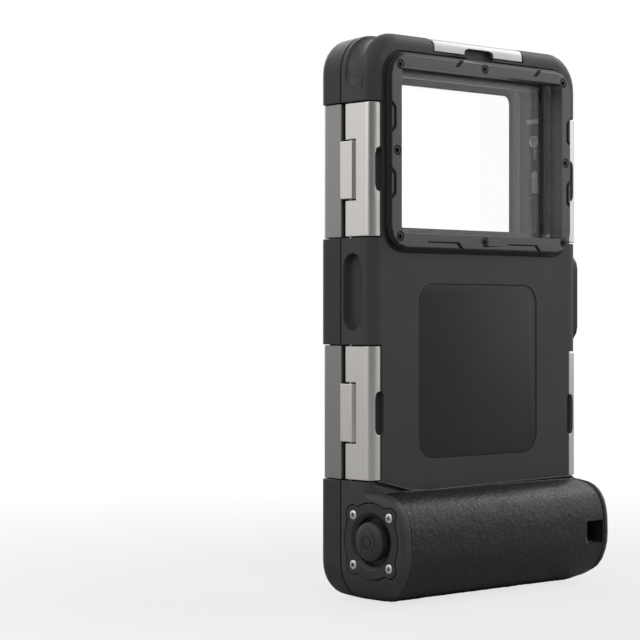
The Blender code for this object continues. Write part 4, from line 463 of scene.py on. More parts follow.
@dataclass(frozen=True)
class HoneycombPlastic(Finish):
    """Plastic with a printed honeycomb of flat-topped cells on its front.

    A bare area can be left in it, given by its low and its high corner in X and Z.
    """

    line: Colour = (0.0, 0.0, 0.0)
    pitch_mm: float = 5.6
    line_share: float = 0.055
    line_fade: float = 1.6
    line_relief: tuple[float, float] = (0.12, 0.6)
    cloud_mm: float = 12.0
    cloud: float = 0.12
    grain_mm: float = 0.4
    grain_relief: tuple[float, float] = (0.02, 0.4)
    bare: tuple[tuple[float, float], tuple[float, float]] | None = None

    def lay_out(self, pattern: Pattern) -> None:
        """Lays out the cells' lines, a soft cloud and the bare area.

        Args:
            pattern: The material's nodes.
        """
        lines = self.line_mask(pattern)
        cloud = pattern.ranged(pattern.noise(self.cloud_mm), *NOISE_SPREAD, 0.0, self.cloud)
        shown = pattern.math("MAXIMUM", lines, cloud)
        if self.bare is not None:
            bare = self.bare_mask(pattern)
            shown = pattern.math("MAXIMUM", shown, bare)
            lines = pattern.math("SUBTRACT", lines, bare)
        pattern.set("Base Color", pattern.colours(shown, self.colour, self.line))
        pattern.emboss(lines, *self.line_relief)
        pattern.emboss(pattern.noise(self.grain_mm), *self.grain_relief)

    def bare_mask(self, pattern: Pattern) -> Socket:
        """Marks the bare area.

        Args:
            pattern: The material's nodes.

        Returns:
            1 inside the area and 0 outside it.
        """
        split = pattern.split(pattern.place)
        tests = []
        for axis, low, high in zip("XZ", *self.bare):
            over = pattern.math("GREATER_THAN", split[axis], low)
            tests.append(pattern.math("MULTIPLY", over, pattern.math("LESS_THAN", split[axis], high)))
        return pattern.math("MULTIPLY", *tests)

    def line_mask(self, pattern: Pattern) -> Socket:
        """Marks the lines between the cells.

        Args:
            pattern: The material's nodes.

        Returns:
            1 on the lines and 0 inside the cells.
        """
        scale = 1.0 / (self.pitch_mm * MILLIMETRE)
        split = pattern.split(pattern.stretched((scale, scale, scale)))
        distances = []
        for shift in (0.0, 0.5):
            near = []
            for axis, width in (("X", math.sqrt(3.0)), ("Z", 1.0)):
                moved = pattern.math("ADD", split[axis], shift * width)
                wrapped = pattern.math("FLOORED_MODULO", moved, width)
                near.append(pattern.math("ABSOLUTE", pattern.math("SUBTRACT", wrapped, width / 2), 0.0))
            slanted = pattern.math("MULTIPLY", near[0], math.sqrt(3.0) / 2)
            sloped = pattern.math("ADD", slanted, pattern.math("MULTIPLY", near[1], 0.5))
            distances.append(pattern.math("MAXIMUM", near[1], sloped))
        nearest = pattern.math("MINIMUM", *distances)
        return pattern.ranged(nearest, 0.5 - self.line_fade * self.line_share, 0.5 - self.line_share)


@dataclass(frozen=True)
class CircuitFinish(Finish):
    """Varnished circuit board with faint copper tracks under its green mask."""

    track: Colour = (0.02, 0.13, 0.05)
    scale: float = 260.0
    gap: float = 0.08
    relief: tuple[float, float] = (0.04, 0.6)

    def lay_out(self, pattern: Pattern) -> None:
        """Lays out the tracks.

        Args:
            pattern: The material's nodes.
        """
        bricks = pattern.add("ShaderNodeTexBrick")
        pattern.feed(bricks.inputs["Scale"], self.scale)
        pattern.feed(bricks.inputs["Mortar Size"], self.gap)
        pattern.feed(bricks.inputs["Vector"], pattern.place)
        pattern.set("Base Color", pattern.colours(bricks.outputs["Fac"], self.colour, self.track))
        pattern.emboss(bricks.outputs["Fac"], *self.relief)


class Bench:
    """The modelling steps that the pieces share, all done with Blender's own operators."""

    upright = Matrix.Rotation(-math.pi / 2, 4, "X")

    @staticmethod
    def clear_selection() -> None:
        """Deselects every object."""
        bpy.ops.object.select_all(action="DESELECT")

    @staticmethod
    def pick(item: Item) -> None:
        """Makes an object the only selected one.

        Args:
            item: The object.
        """
        Bench.clear_selection()
        item.select_set(True)
        bpy.context.view_layer.objects.active = item

    @staticmethod
    @contextmanager
    def editing(
        item: Item, wanted: Callable[..., bool] = lambda part: True, kind: str = "FACE"
    ) -> Iterator[None]:
        """Opens edit mode on the wanted faces or edges, and goes back to object mode at the end.

        Args:
            item: The object to edit.
            wanted: Says whether a face or an edge is selected.
            kind: "FACE" or "EDGE".

        Yields:
            Nothing, while edit mode is open.
        """
        Bench.pick(item)
        mesh = item.data
        for parts in (mesh.vertices, mesh.edges, mesh.polygons):
            parts.foreach_set("select", [False] * len(parts))
        chosen = [part for part in (mesh.edges if kind == "EDGE" else mesh.polygons) if wanted(part)]
        bpy.context.tool_settings.mesh_select_mode = (False, kind == "EDGE", kind == "FACE")
        for part in chosen:
            part.select = True
            for index in part.vertices:
                mesh.vertices[index].select = True
        bpy.ops.object.mode_set(mode="EDIT")
        bpy.ops.mesh.select_mode(type=kind)
        yield
        bpy.ops.object.mode_set(mode="OBJECT")

    @staticmethod
    def settle(item: Item) -> None:
        """Applies an object's place, turn and scale to its mesh."""
        Bench.pick(item)
        bpy.ops.object.transform_apply(location=True, rotation=True, scale=True)

    @staticmethod
    def smooth(item: Item, degrees: float = 35.0) -> None:
        """Shades the round faces smooth up to an angle."""
        Bench.pick(item)
        bpy.ops.object.shade_smooth_by_angle(angle=math.radians(degrees))

    @staticmethod
    def modify(item: Item, kind: str, **settings: object) -> None:
        """Adds a modifier and applies it.

        Args:
            item: The object.
            kind: The modifier's type.
            settings: The modifier's own properties.
        """
        modifier = item.modifiers.new(kind, kind)
        for key, value in settings.items():
            setattr(modifier, key, value)
        Bench.pick(item)
        bpy.ops.object.modifier_apply(modifier=modifier.name)

    @staticmethod
    def cut(item: Item, cutter: Item, operation: str = "DIFFERENCE") -> None:
        """Cuts with a cutter, or joins it, and removes it."""
        Bench.modify(item, "BOOLEAN", operation=operation, solver="EXACT", object=cutter)
        bpy.data.objects.remove(cutter)

    @staticmethod
    def face_outwards(item: Item) -> None:
        """Merges doubles and turns every face outwards.

        Args:
            item: The object.
        """
        with Bench.editing(item):
            bpy.ops.mesh.remove_doubles(threshold=MERGE_DISTANCE)
            bpy.ops.mesh.normals_make_consistent(inside=False)

    @staticmethod
    def solid(
        primitive: Callable[..., object], place: Place = ORIGIN, scale: Place | None = None, **shape: object
    ) -> Item:
        """Adds one of Blender's primitives and applies its place, turn and scale.

        Args:
            primitive: The operator that adds it.
            place: Where its middle goes.
            scale: Its scale along each axis.
            shape: The operator's other settings.

        Returns:
            The solid.
        """
        Bench.clear_selection()
        primitive(location=tuple(place), **shape)
        item = bpy.context.active_object
        if scale is not None:
            item.scale = scale
        Bench.settle(item)
        return item

    @staticmethod
    def block(low: Place, high: Place) -> Item:
        """Models a block between two corners.

        Args:
            low: One corner.
            high: The opposite corner.

        Returns:
            The block.
        """
        place = [(first + last) / 2 for first, last in zip(low, high)]
        scale = [abs(last - first) for first, last in zip(low, high)]
        return Bench.solid(bpy.ops.mesh.primitive_cube_add, place, scale, size=1.0)

    @staticmethod
    def plate(name: str, half: Sequence[float], radius: float, thickness: float) -> Item:
        """Models a plate with rounded corners that lies on the XY plane round the origin.

        Args:
            name: The plate's name.
            half: Its half width and half height.
            radius: The radius of its corners.
            thickness: Its thickness, upwards.

        Returns:
            The plate.
        """
        plate = Bench.solid(bpy.ops.mesh.primitive_plane_add, ORIGIN, (*half, 1.0), size=2.0)
        plate.name = name
        with Bench.editing(plate):
            bpy.ops.mesh.bevel(offset=radius, segments=8, affect="VERTICES")
            bpy.ops.mesh.extrude_region_move(TRANSFORM_OT_translate={"value": (0.0, 0.0, thickness)})
        Bench.face_outwards(plate)
        return plate

    @staticmethod
    def adopt(name: str, mesh: bpy.types.Mesh) -> Item:
        """Gives a mesh an object at the origin.

        Args:
            name: The object's name.
            mesh: The mesh.

        Returns:
            The object.
        """
        item = bpy.data.objects.new(name, mesh)
        bpy.context.scene.collection.objects.link(item)
        return item

    @staticmethod
    def moved_copy(item: Item, name: str, matrix: Matrix) -> Item:
        """Copies an object with its own mesh and places that mesh.

        Args:
            item: The object to copy.
            name: The copy's name.
            matrix: Where the copy's mesh goes.

        Returns:
            The copy, with its object at the origin.
        """
        mesh = item.data.copy()
        mesh.transform(matrix)
        return Bench.adopt(name, mesh)


def take_place(piece: Item, node: str) -> None:
    """Puts a fine piece in the place of a node, on the node's body, and hides the node.

    Args:
        piece: The fine piece.
        node: The node's name.
    """
    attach(piece, frame["nodes"][node]["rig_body"])
    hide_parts(node)


@dataclass
class Wardrobe:
    """The finishes of the case, each made once and shared."""

    made: dict[str, bpy.types.Material] = field(default_factory=dict)

    def get(self, finish: Finish) -> bpy.types.Material:
        """Returns the material of a finish, made the first time it is asked for.

        Args:
            finish: The finish.

        Returns:
            Its material.
        """
        if finish.name not in self.made:
            self.made[finish.name] = finish.material()
        return self.made[finish.name]

    def dress(self, item: Item, finish: Finish) -> None:
        """Gives a piece one finish in the place of what it had."""
        item.data.materials.clear()
        item.data.materials.append(self.get(finish))


BODY = MouldedPlastic("body_plastic", (0.039, 0.039, 0.0397), 0.44, 0.6)
FRAME = MouldedPlastic("frame_plastic", (0.023, 0.023, 0.0237), 0.46, 0.55)
SHUTTER = MouldedPlastic("shutter_plastic", (0.026, 0.026, 0.027), 0.44, 0.35, 0.015)
BEZEL = SatinMetal("bezel_metal", (0.080, 0.080, 0.082), 0.38, 0.4, Axis.X)
# Near-black painted shade for the bezel's outer flanks and engraved lines.
BEZEL_FLANK_SHADE = MouldedPlastic("bezel_flank_painted_shade", (0.010, 0.010, 0.0105), 0.5, 0.25)
LATCH = SatinMetal("latch_metal", (0.66, 0.64, 0.61), 0.33, 0.9, Axis.Z)
# The top and bottom levers' metal is a darker copy of the latch metal, brushed across: painted shade, as
# their faces get less light than the side levers'.
LATCH_ACROSS_SHADE = SatinMetal("latch_across_painted_shade_metal", (0.45, 0.445, 0.44), 0.33, 0.9, Axis.X)
# The plates' metal is a darker copy of the latch metal: painted shade for their slight tilt away from the
# light.
PLATE_SHADE = SatinMetal("plate_painted_shade_metal", (0.27, 0.265, 0.26), 0.36, 0.9, Axis.Z)
PLATE_ACROSS_SHADE = SatinMetal("plate_across_painted_shade_metal", (0.36, 0.355, 0.35), 0.36, 0.9, Axis.X)
# Near-black painted shade for the faces inside the lanyard's passage.
PASSAGE_SHADE = SealRubber("passage_painted_shade", (0.006, 0.006, 0.006))
PANEL = MouldedPlastic("panel_plastic", (0.022, 0.022, 0.023), 0.5, 0.3, 0.008)
CLEAR = ClearPlate("clear_plate", (0.985, 0.988, 0.99))
RUBBER = SealRubber("seal_rubber", (0.012, 0.012, 0.012))
SKIN = GrainedLeather("grip_leather", (0.004, 0.004, 0.004), 0.38, 1.4)
BLACK = SatinMetal("black_metal", (0.028, 0.028, 0.029), 0.42, 0.5, Axis.Z)
STEEL = SatinMetal("screw_steel", (0.66, 0.66, 0.66), 0.24, 1.0, Axis.Z)
HOLDER_BARE = ((-0.0155, 0.0130), (0.0030, 0.0458))
HOLDER_LINE = (0.058, 0.058, 0.06)
HOLDER = HoneycombPlastic("holder_honeycomb", (0.155, 0.155, 0.158), 0.5, HOLDER_LINE, bare=HOLDER_BARE)
CLAMP = HoneycombPlastic("clamp_honeycomb", (0.040, 0.040, 0.041), 0.5, (0.135, 0.135, 0.138))
SLIDER = MouldedPlastic("slider_plastic", (0.13, 0.13, 0.132), 0.5)
FITTING = MouldedPlastic("fitting_plastic", (0.20, 0.20, 0.203), 0.42, 0.5)
BOARD = CircuitFinish("circuit_green", (0.01, 0.075, 0.03), 0.32)
THREAD = SatinMetal("thread_metal", (0.07, 0.068, 0.064), 0.32, 0.9, Axis.X)
HOLDER_SCREW = SatinMetal("holder_screw_metal", (0.16, 0.16, 0.16), 0.3, 0.8, Axis.Z)
BLACK_SCREW = SatinMetal("black_screw_metal", (0.035, 0.035, 0.036), 0.3, 0.8, Axis.Z)


@dataclass
class Dressing:
    """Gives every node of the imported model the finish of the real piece."""

    wardrobe: Wardrobe
    finishes: dict[str, Finish] = field(
        default_factory=lambda: {
            "rear_shell": BODY,
            "front_frame": FRAME,
            "shutter_plate": SHUTTER,
            "shutter_button": SHUTTER,
            "camera_bezel": BEZEL,
            "latch_lever_top": LATCH_ACROSS_SHADE,
            "latch_lever_bottom": LATCH_ACROSS_SHADE,
            "latch_plate_top": PLATE_ACROSS_SHADE,
            "latch_plate_bottom": PLATE_ACROSS_SHADE,
            "latch_lever": LATCH,
            "latch_plate": PLATE_SHADE,
            "screen_window": CLEAR,
            "camera_window": CLEAR,
            "main_gasket": RUBBER,
            "camera_gasket": RUBBER,
            "shutter_seal": RUBBER,
            "grip_skin": SKIN,
            "tripod": BLACK,
            "bezel_screw": BLACK,
            "shutter_switch": BLACK,
            "holder_tray": HOLDER,
            "bottom_support": CLAMP,
            "side_clamp": CLAMP,
            "battery_cover": BODY,
            "lock_slider": SLIDER,
            "circuit_board": BOARD,
        }
    )

    def finish_of(self, node: str) -> Finish:
        """Returns the finish whose name starts the node's name, or bright steel."""
        fitting = [name for name in self.finishes if node.startswith(name)]
        return self.finishes[max(fitting, key=len)] if fitting else STEEL

    def build(self) -> None:
        """Assigns a finish to every node."""
        for name, item in frame["nodes"].items():
            material = self.wardrobe.get(self.finish_of(name))
            if not item.material_slots:
                item.data.materials.append(material)
            for slot in item.material_slots:
                slot.material = material
            LOG.info("dressed %s in %s", name, material.name)


@dataclass(frozen=True)
class Edge:
    """How the edges of a moulded or machined piece are broken."""

    width_mm: float = 0.2
    segments: int = 2
    degrees: float = 34.0
    smooth_degrees: float = 34.0


@dataclass
class Carvings:
    """Cuts that the fine copies get before their edges are broken.

    The lip's points are X and Z, along the edge where the back ends above the grip.
    """

    lip_points: tuple[tuple[float, float], ...] = (
        *((0.0575, 0.0446), (0.0540, 0.0434), (0.0509, 0.0427), (0.0465, 0.0417), (0.0420, 0.0406)),
        *((0.0387, 0.0398), (0.0355, 0.0391), (0.0327, 0.0388), (0.0297, 0.0386), (0.0220, 0.0385)),
        *((0.0000, 0.0389), (-0.0330, 0.0393), (-0.0575, 0.0396)),
    )
    cove_radius: float = 0.0012
    cove_rise: float = 0.00035
    groove_place: tuple[float, float, float] = (0.0551, -0.0030, 0.1848)
    groove_size: tuple[float, float, float] = (0.00183, 0.0043, 0.0043)
    groove_run: float = 0.0030
    niche_x: tuple[float, float] = (0.0383, 0.0416)
    niche_y: tuple[float, float] = (-0.0067, -0.0012)
    niche_heights: tuple[tuple[float, float], ...] = ((0.1472, 0.1575), (0.1603, 0.1705))
    trench_width: float = 0.0007
    trench_depth: float = 0.0007
    trench_overlap: float = 0.0005
    bezel_radius: float = 0.0085
    seam_relief: float = 0.0002
    lever_relief: float = 0.00018

    def carve(self, name: str, piece: Item) -> None:
        """Makes the cuts of one node's copy.

        Args:
            name: The node's name.
            piece: The copy.
        """
        if name == "rear_shell":
            cove_drop = math.sqrt(self.cove_radius**2 - self.cove_rise**2)
            Bench.cut(piece, self.tube(self.cove_radius, self.cove_rise, cove_drop))
            Bench.cut(piece, self.bezel_trench())
            for mirror in (-1.0, 1.0):
                Bench.cut(piece, self.groove_end(mirror))
                for heights in self.niche_heights:
                    corners = zip([mirror * x for x in self.niche_x], self.niche_y, heights)
                    Bench.cut(piece, Bench.block(*corners))
        elif name == "front_frame":
            self.open_seam(piece)
        elif name.startswith("latch_lever"):
            self.shorten(piece, 0 if name.endswith(("top", "bottom")) else 2)

    def tube(self, radius: float, rise: float, drop: float) -> Item:
        """Sweeps a round rod along the lip where the grip meets the back.

        Args:
            radius: The rod's radius.
            rise: How far its middle stands out from the back.
            drop: How far its middle lies under the lip.

        Returns:
            The rod.
        """
        Bench.clear_selection()
        bpy.ops.curve.primitive_bezier_curve_add(location=ORIGIN)
        path = bpy.context.active_object
        curve = path.data
        curve.splines.clear()
        spline = curve.splines.new("BEZIER")
        spline.bezier_points.add(len(self.lip_points) - 1)
        for point, (x, z) in zip(spline.bezier_points, self.lip_points):
            point.co = (x, BACK_Y + rise, z - drop)
            point.handle_left_type = point.handle_right_type = "AUTO"
        curve.bevel_depth = radius
        curve.bevel_resolution = 6
        curve.resolution_u = 5
        curve.use_fill_caps = True
        Bench.pick(path)
        bpy.ops.object.convert(target="MESH")
        rod = bpy.context.active_object
        Bench.face_outwards(rod)
        return rod

    def groove_end(self, mirror: float) -> Item:
        """Models the round end of the scooped groove on one side.

        Args:
            mirror: -1 for the left side and 1 for the right.

        Returns:
            The cutter.
        """
        x, y, z = self.groove_place
        sphere = bpy.ops.mesh.primitive_uv_sphere_add
        cutter = Bench.solid(
            sphere, (mirror * x, y, z), self.groove_size, segments=48, ring_count=24, radius=1.0
        )
        with Bench.editing(cutter, lambda face: face.center.z > z):
            bpy.ops.transform.translate(value=(0.0, 0.0, self.groove_run))
        return cutter

    def bezel_trench(self) -> Item:
        """Models the narrow trench round the foot of the camera bezel.

        Returns:
            The cutter.
        """
        low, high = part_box("camera_bezel")
        half = ((high.x - low.x) / 2, (high.z - low.z) / 2)
        grown = [side + self.trench_width for side in half]
        drawn_in = [side - self.trench_overlap for side in half]
        radius = self.bezel_radius
        trench = Bench.plate("trench", grown, radius + self.trench_width, 2 * self.trench_depth)
        inner = Bench.plate("inside", drawn_in, radius, 6 * self.trench_depth)
        inner.data.transform(Matrix.Translation((0.0, 0.0, -2 * self.trench_depth)))
        Bench.cut(trench, inner)
        middle = (low + high) / 2
        place = Matrix.Translation((middle.x, BACK_Y - self.trench_depth, middle.z))
        trench.data.transform(place @ Bench.upright)
        return trench

    def open_seam(self, frame_copy: Item) -> None:
        """Draws the frame's rear edge in, so that the seam shows as a crisp dark line.

        Args:
            frame_copy: The front frame's copy.
        """
        rear = max(vertex.co.y for vertex in frame_copy.data.vertices) - MERGE_DISTANCE
        with Bench.editing(frame_copy, lambda face: face.normal.y > 0.99 and face.center.y > rear):
            bpy.ops.transform.translate(value=(0.0, -self.seam_relief, 0.0))

    def shorten(self, lever: Item, axis: int) -> None:
        """Draws a lever's ends in, so that the gap round it shows as a crisp dark line.

        Args:
            lever: The lever's copy.
            axis: 0 for X and 2 for Z.
        """
        places = [vertex.co[axis] for vertex in lever.data.vertices]
        middle = (min(places) + max(places)) / 2
        factor = 1.0 - 2 * self.lever_relief / (max(places) - min(places))
        stretch = Matrix.Identity(4)
        stretch[axis][axis] = factor
        stretch[axis][3] = middle * (1.0 - factor)
        lever.data.transform(stretch)


@dataclass
class FineCopies:
    """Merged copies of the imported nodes, with smooth rounds and broken edges."""

    wardrobe: Wardrobe
    carvings: Carvings
    edges: dict[str, Edge] = field(
        default_factory=lambda: {
            "rear_shell": Edge(0.22, smooth_degrees=24.0),
            "front_frame": Edge(0.3, 3),
            "camera_bezel": Edge(0.2, 3),
            "latch_lever": Edge(0.28, 3),
            "latch_plate": Edge(0.28, 3),
            "tripod_plate": Edge(0.3, 3),
            "shutter_plate": Edge(0.25, 3),
            "shutter_button": Edge(0.2),
            "holder_tray": Edge(0.2),
            "side_clamp": Edge(0.25),
            "bottom_support": Edge(0.25),
            "lock_slider": Edge(0.15),
            "battery_cover": Edge(0.2),
            "coin_cell": Edge(0.15),
            "latch_pin": Edge(0.12),
        }
    )
    flank_depth: float = 0.00035
    bezel_opening_half: float = 0.0432
    bezel_opening_z: tuple[float, float] = (0.1287, 0.1888)
    passage_low: tuple[float, float, float] = (-0.0546, 0.0075, 0.0158)
    passage_high: tuple[float, float, float] = (-0.0420, 0.0199, 0.0240)

    def build(self) -> dict[str, Item]:
        """Replaces every listed node with its fine copy.

        Returns:
            The copies by node.
        """
        made = {}
        for name in sorted(frame["nodes"]):
            fitting = [start for start in self.edges if name.startswith(start)]
            if fitting:
                made[name] = self.refine(name, self.edges[max(fitting, key=len)])
                take_place(made[name], name)
        for name, piece in made.items():
            # Each latch plate keeps its darker metal, painted shade, in front of the seam, and its tab
            # behind the seam gets the lever's lighter metal.
            if name.startswith("latch_plate"):
                across = name.endswith(("top", "bottom"))
                self.repaint(piece, LATCH_ACROSS_SHADE if across else LATCH, lambda place: place.y > SEAM_Y)
        # The bezel's outer flanks and engraved lines get the near-black painted shade.
        flank_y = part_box("camera_bezel")[1].y - self.flank_depth
        self.repaint(made["camera_bezel"], BEZEL_FLANK_SHADE, lambda place: self.is_flank(place, flank_y))
        # The faces inside the lanyard's passage get the near-black painted shade.
        self.repaint(made["rear_shell"], PASSAGE_SHADE, self.is_passage)
        return made

    def repaint(self, piece: Item, finish: Finish, wanted: Callable[[Vector], bool]) -> None:
        """Gives some faces of a copy a second finish, which paints light or shade on them.

        Args:
            piece: The copy.
            finish: The second finish.
            wanted: Says from a face's middle whether it gets that finish.
        """
        piece.data.materials.append(self.wardrobe.get(finish))
        for face in piece.data.polygons:
            face.material_index = 1 if wanted(face.center) else 0

    def is_flank(self, place: Vector, flank_y: float) -> bool:
        """Says whether a place lies on the bezel's outer flanks or in its engraved lines.

        Args:
            place: The place.
            flank_y: The depth at which the flanks start.

        Returns:
            Whether it does.
        """
        low_z, high_z = self.bezel_opening_z
        inner = abs(place.x) < self.bezel_opening_half and low_z < place.z < high_z
        return place.y < flank_y and not inner

    def is_passage(self, place: Vector) -> bool:
        """Says whether a place lies in the lanyard's passage through the grip."""
        return all(low < part < high for low, part, high in zip(self.passage_low, place, self.passage_high))

    def refine(self, name: str, edge: Edge) -> Item:
        """Makes one node's fine copy, which stays inside the node's box.

        Args:
            name: The node's name.
            edge: How its edges are broken.

        Returns:
            The copy.
        """
        piece = Bench.moved_copy(frame["nodes"][name], f"fine_{name}", Matrix.Identity(4))
        with Bench.editing(piece):
            bpy.ops.mesh.remove_doubles(threshold=MERGE_DISTANCE)
            bpy.ops.mesh.tris_convert_to_quads(face_threshold=FLAT_ANGLE, shape_threshold=math.pi)
        self.carvings.carve(name, piece)
        limit = math.radians(edge.degrees)
        width = edge.width_mm * MILLIMETRE
        Bench.modify(
            piece, "BEVEL", width=width, segments=edge.segments, angle_limit=limit, use_clamp_overlap=False
        )
        Bench.smooth(piece, edge.smooth_degrees)
        Bench.modify(piece, "WEIGHTED_NORMAL", keep_sharp=True)
        low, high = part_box(name)
        for vertex in piece.data.vertices:
            vertex.co = [min(max(vertex.co[n], low[n]), high[n]) for n in range(3)]
        LOG.info("refined %s to %d faces", name, len(piece.data.polygons))
        return piece


class Drive(Enum):
    """The recess that turns a screw."""

    HEXAGON = "hexagon"
    CROSS = "cross"


@dataclass
class ScrewSet:
    """Screws of one kind, each with a broken edge, a narrower shank and a drive recess."""

    wardrobe: Wardrobe
    nodes: tuple[str, ...]
    outward: Axis
    drive: Drive
    finish: SatinMetal
    head_share: float = 0.25
    drive_share: float = 0.66
    crown_mm: float = 0.12
    shank_share: float = 0.5
    edge_share: float = 0.16
    recess_share: float = 0.7
    crown_shares: tuple[float, ...] = (0.3, 0.3, 0.2)
    crown_reach: float = 0.8
    floor_bevel: float = 0.2
    floor_taper: float = 0.5
    arm_share: float = 0.36
    facets: int = 48
    first_turn: float = 0.7
    next_turn: float = 1.3

    def build(self) -> None:
        """Models one screw and puts a copy of it in the place of every node."""
        low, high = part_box(self.nodes[0])
        outward = self.outward.vector
        length = abs((high - low).dot(outward))
        master = self.model((sum(high - low) - length) / 4, length)
        for number, name in enumerate(self.nodes):
            low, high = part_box(name)
            top = (low + high) / 2 + outward * (abs((high - low).dot(outward)) / 2)
            spin = Matrix.Rotation(self.first_turn + self.next_turn * number, 4, "Z")
            place = Matrix.Translation(top) @ self.outward.turn @ spin
            take_place(Bench.moved_copy(master, f"fine_{name}", place), name)
            LOG.info("screwed in %s", name)
        bpy.data.objects.remove(master)

    def model(self, radius: float, length: float) -> Item:
        """Models a screw that points along +Z, with its head's top at the origin.

        Args:
            radius: The head's radius.
            length: The whole length.

        Returns:
            The master screw.
        """
        head = length * self.head_share
        cylinder = bpy.ops.mesh.primitive_cylinder_add
        screw = Bench.solid(cylinder, (0.0, 0.0, -head / 2), vertices=self.facets, radius=radius, depth=head)
        with Bench.editing(screw, lambda face: face.normal.z < -0.9):
            bpy.ops.mesh.inset(thickness=radius * (1.0 - self.shank_share))
            bpy.ops.mesh.extrude_region_move(TRANSFORM_OT_translate={"value": (0.0, 0.0, head - length)})
        with Bench.editing(screw, lambda face: face.normal.z > 0.9):
            bpy.ops.mesh.bevel(offset=radius * self.edge_share, segments=4, affect="EDGES")
        if self.crown_mm:
            self.crown(screw, radius)
        recess = self.hexagon if self.drive is Drive.HEXAGON else self.cross
        Bench.cut(screw, recess(radius * self.drive_share, head * self.recess_share))
        Bench.smooth(screw)
        self.wardrobe.dress(screw, self.finish)
        return screw

    def crown(self, screw: Item, radius: float) -> None:
        """Domes the flat top of a head.

        Args:
            screw: The master screw.
            radius: The head's radius.
        """
        with Bench.editing(screw, lambda face: face.normal.z > 0.99):
            for share in self.crown_shares:
                bpy.ops.mesh.inset(thickness=radius * share * self.crown_reach)
                bpy.ops.transform.translate(value=(0.0, 0.0, self.crown_mm * MILLIMETRE * share))
        lift = max(vertex.co.z for vertex in screw.data.vertices)
        screw.data.transform(Matrix.Translation((0.0, 0.0, -lift)))

    def hexagon(self, reach: float, depth: float) -> Item:
        """Models the cutter of a hexagon socket with a chamfered floor.

        Args:
            reach: The distance from its middle to a corner.
            depth: Its depth.

        Returns:
            The cutter.
        """
        cylinder = bpy.ops.mesh.primitive_cylinder_add
        cutter = Bench.solid(cylinder, vertices=6, radius=reach, depth=depth * 2)
        with Bench.editing(cutter, lambda face: face.normal.z < -0.9):
            bpy.ops.mesh.bevel(offset=reach * self.floor_bevel, segments=1, affect="EDGES")
        return cutter

    def cross(self, reach: float, depth: float) -> Item:
        """Models the cutter of a cross recess whose arms taper towards its floor.

        Args:
            reach: The length of an arm.
            depth: Its depth.

        Returns:
            The cutter.
        """
        arms = []
        for width, height in ((1.0, self.arm_share), (self.arm_share, 1.0)):
            scale = (2 * reach * width, 2 * reach * height, depth * 2)
            arm = Bench.solid(bpy.ops.mesh.primitive_cube_add, ORIGIN, scale, size=1.0)
            with Bench.editing(arm, lambda face: face.normal.z < -0.9):
                value = (self.floor_taper, self.floor_taper, 1.0)
                bpy.ops.transform.resize(value=value, center_override=(0.0, 0.0, -depth))
            arms.append(arm)
        Bench.cut(*arms, "UNION")
        return arms[0]


class Relief(Enum):
    """A pattern that is pressed into the leather, by the name of its texture."""

    FOLDS = "STUCCI"
    GRAIN = "VORONOI"


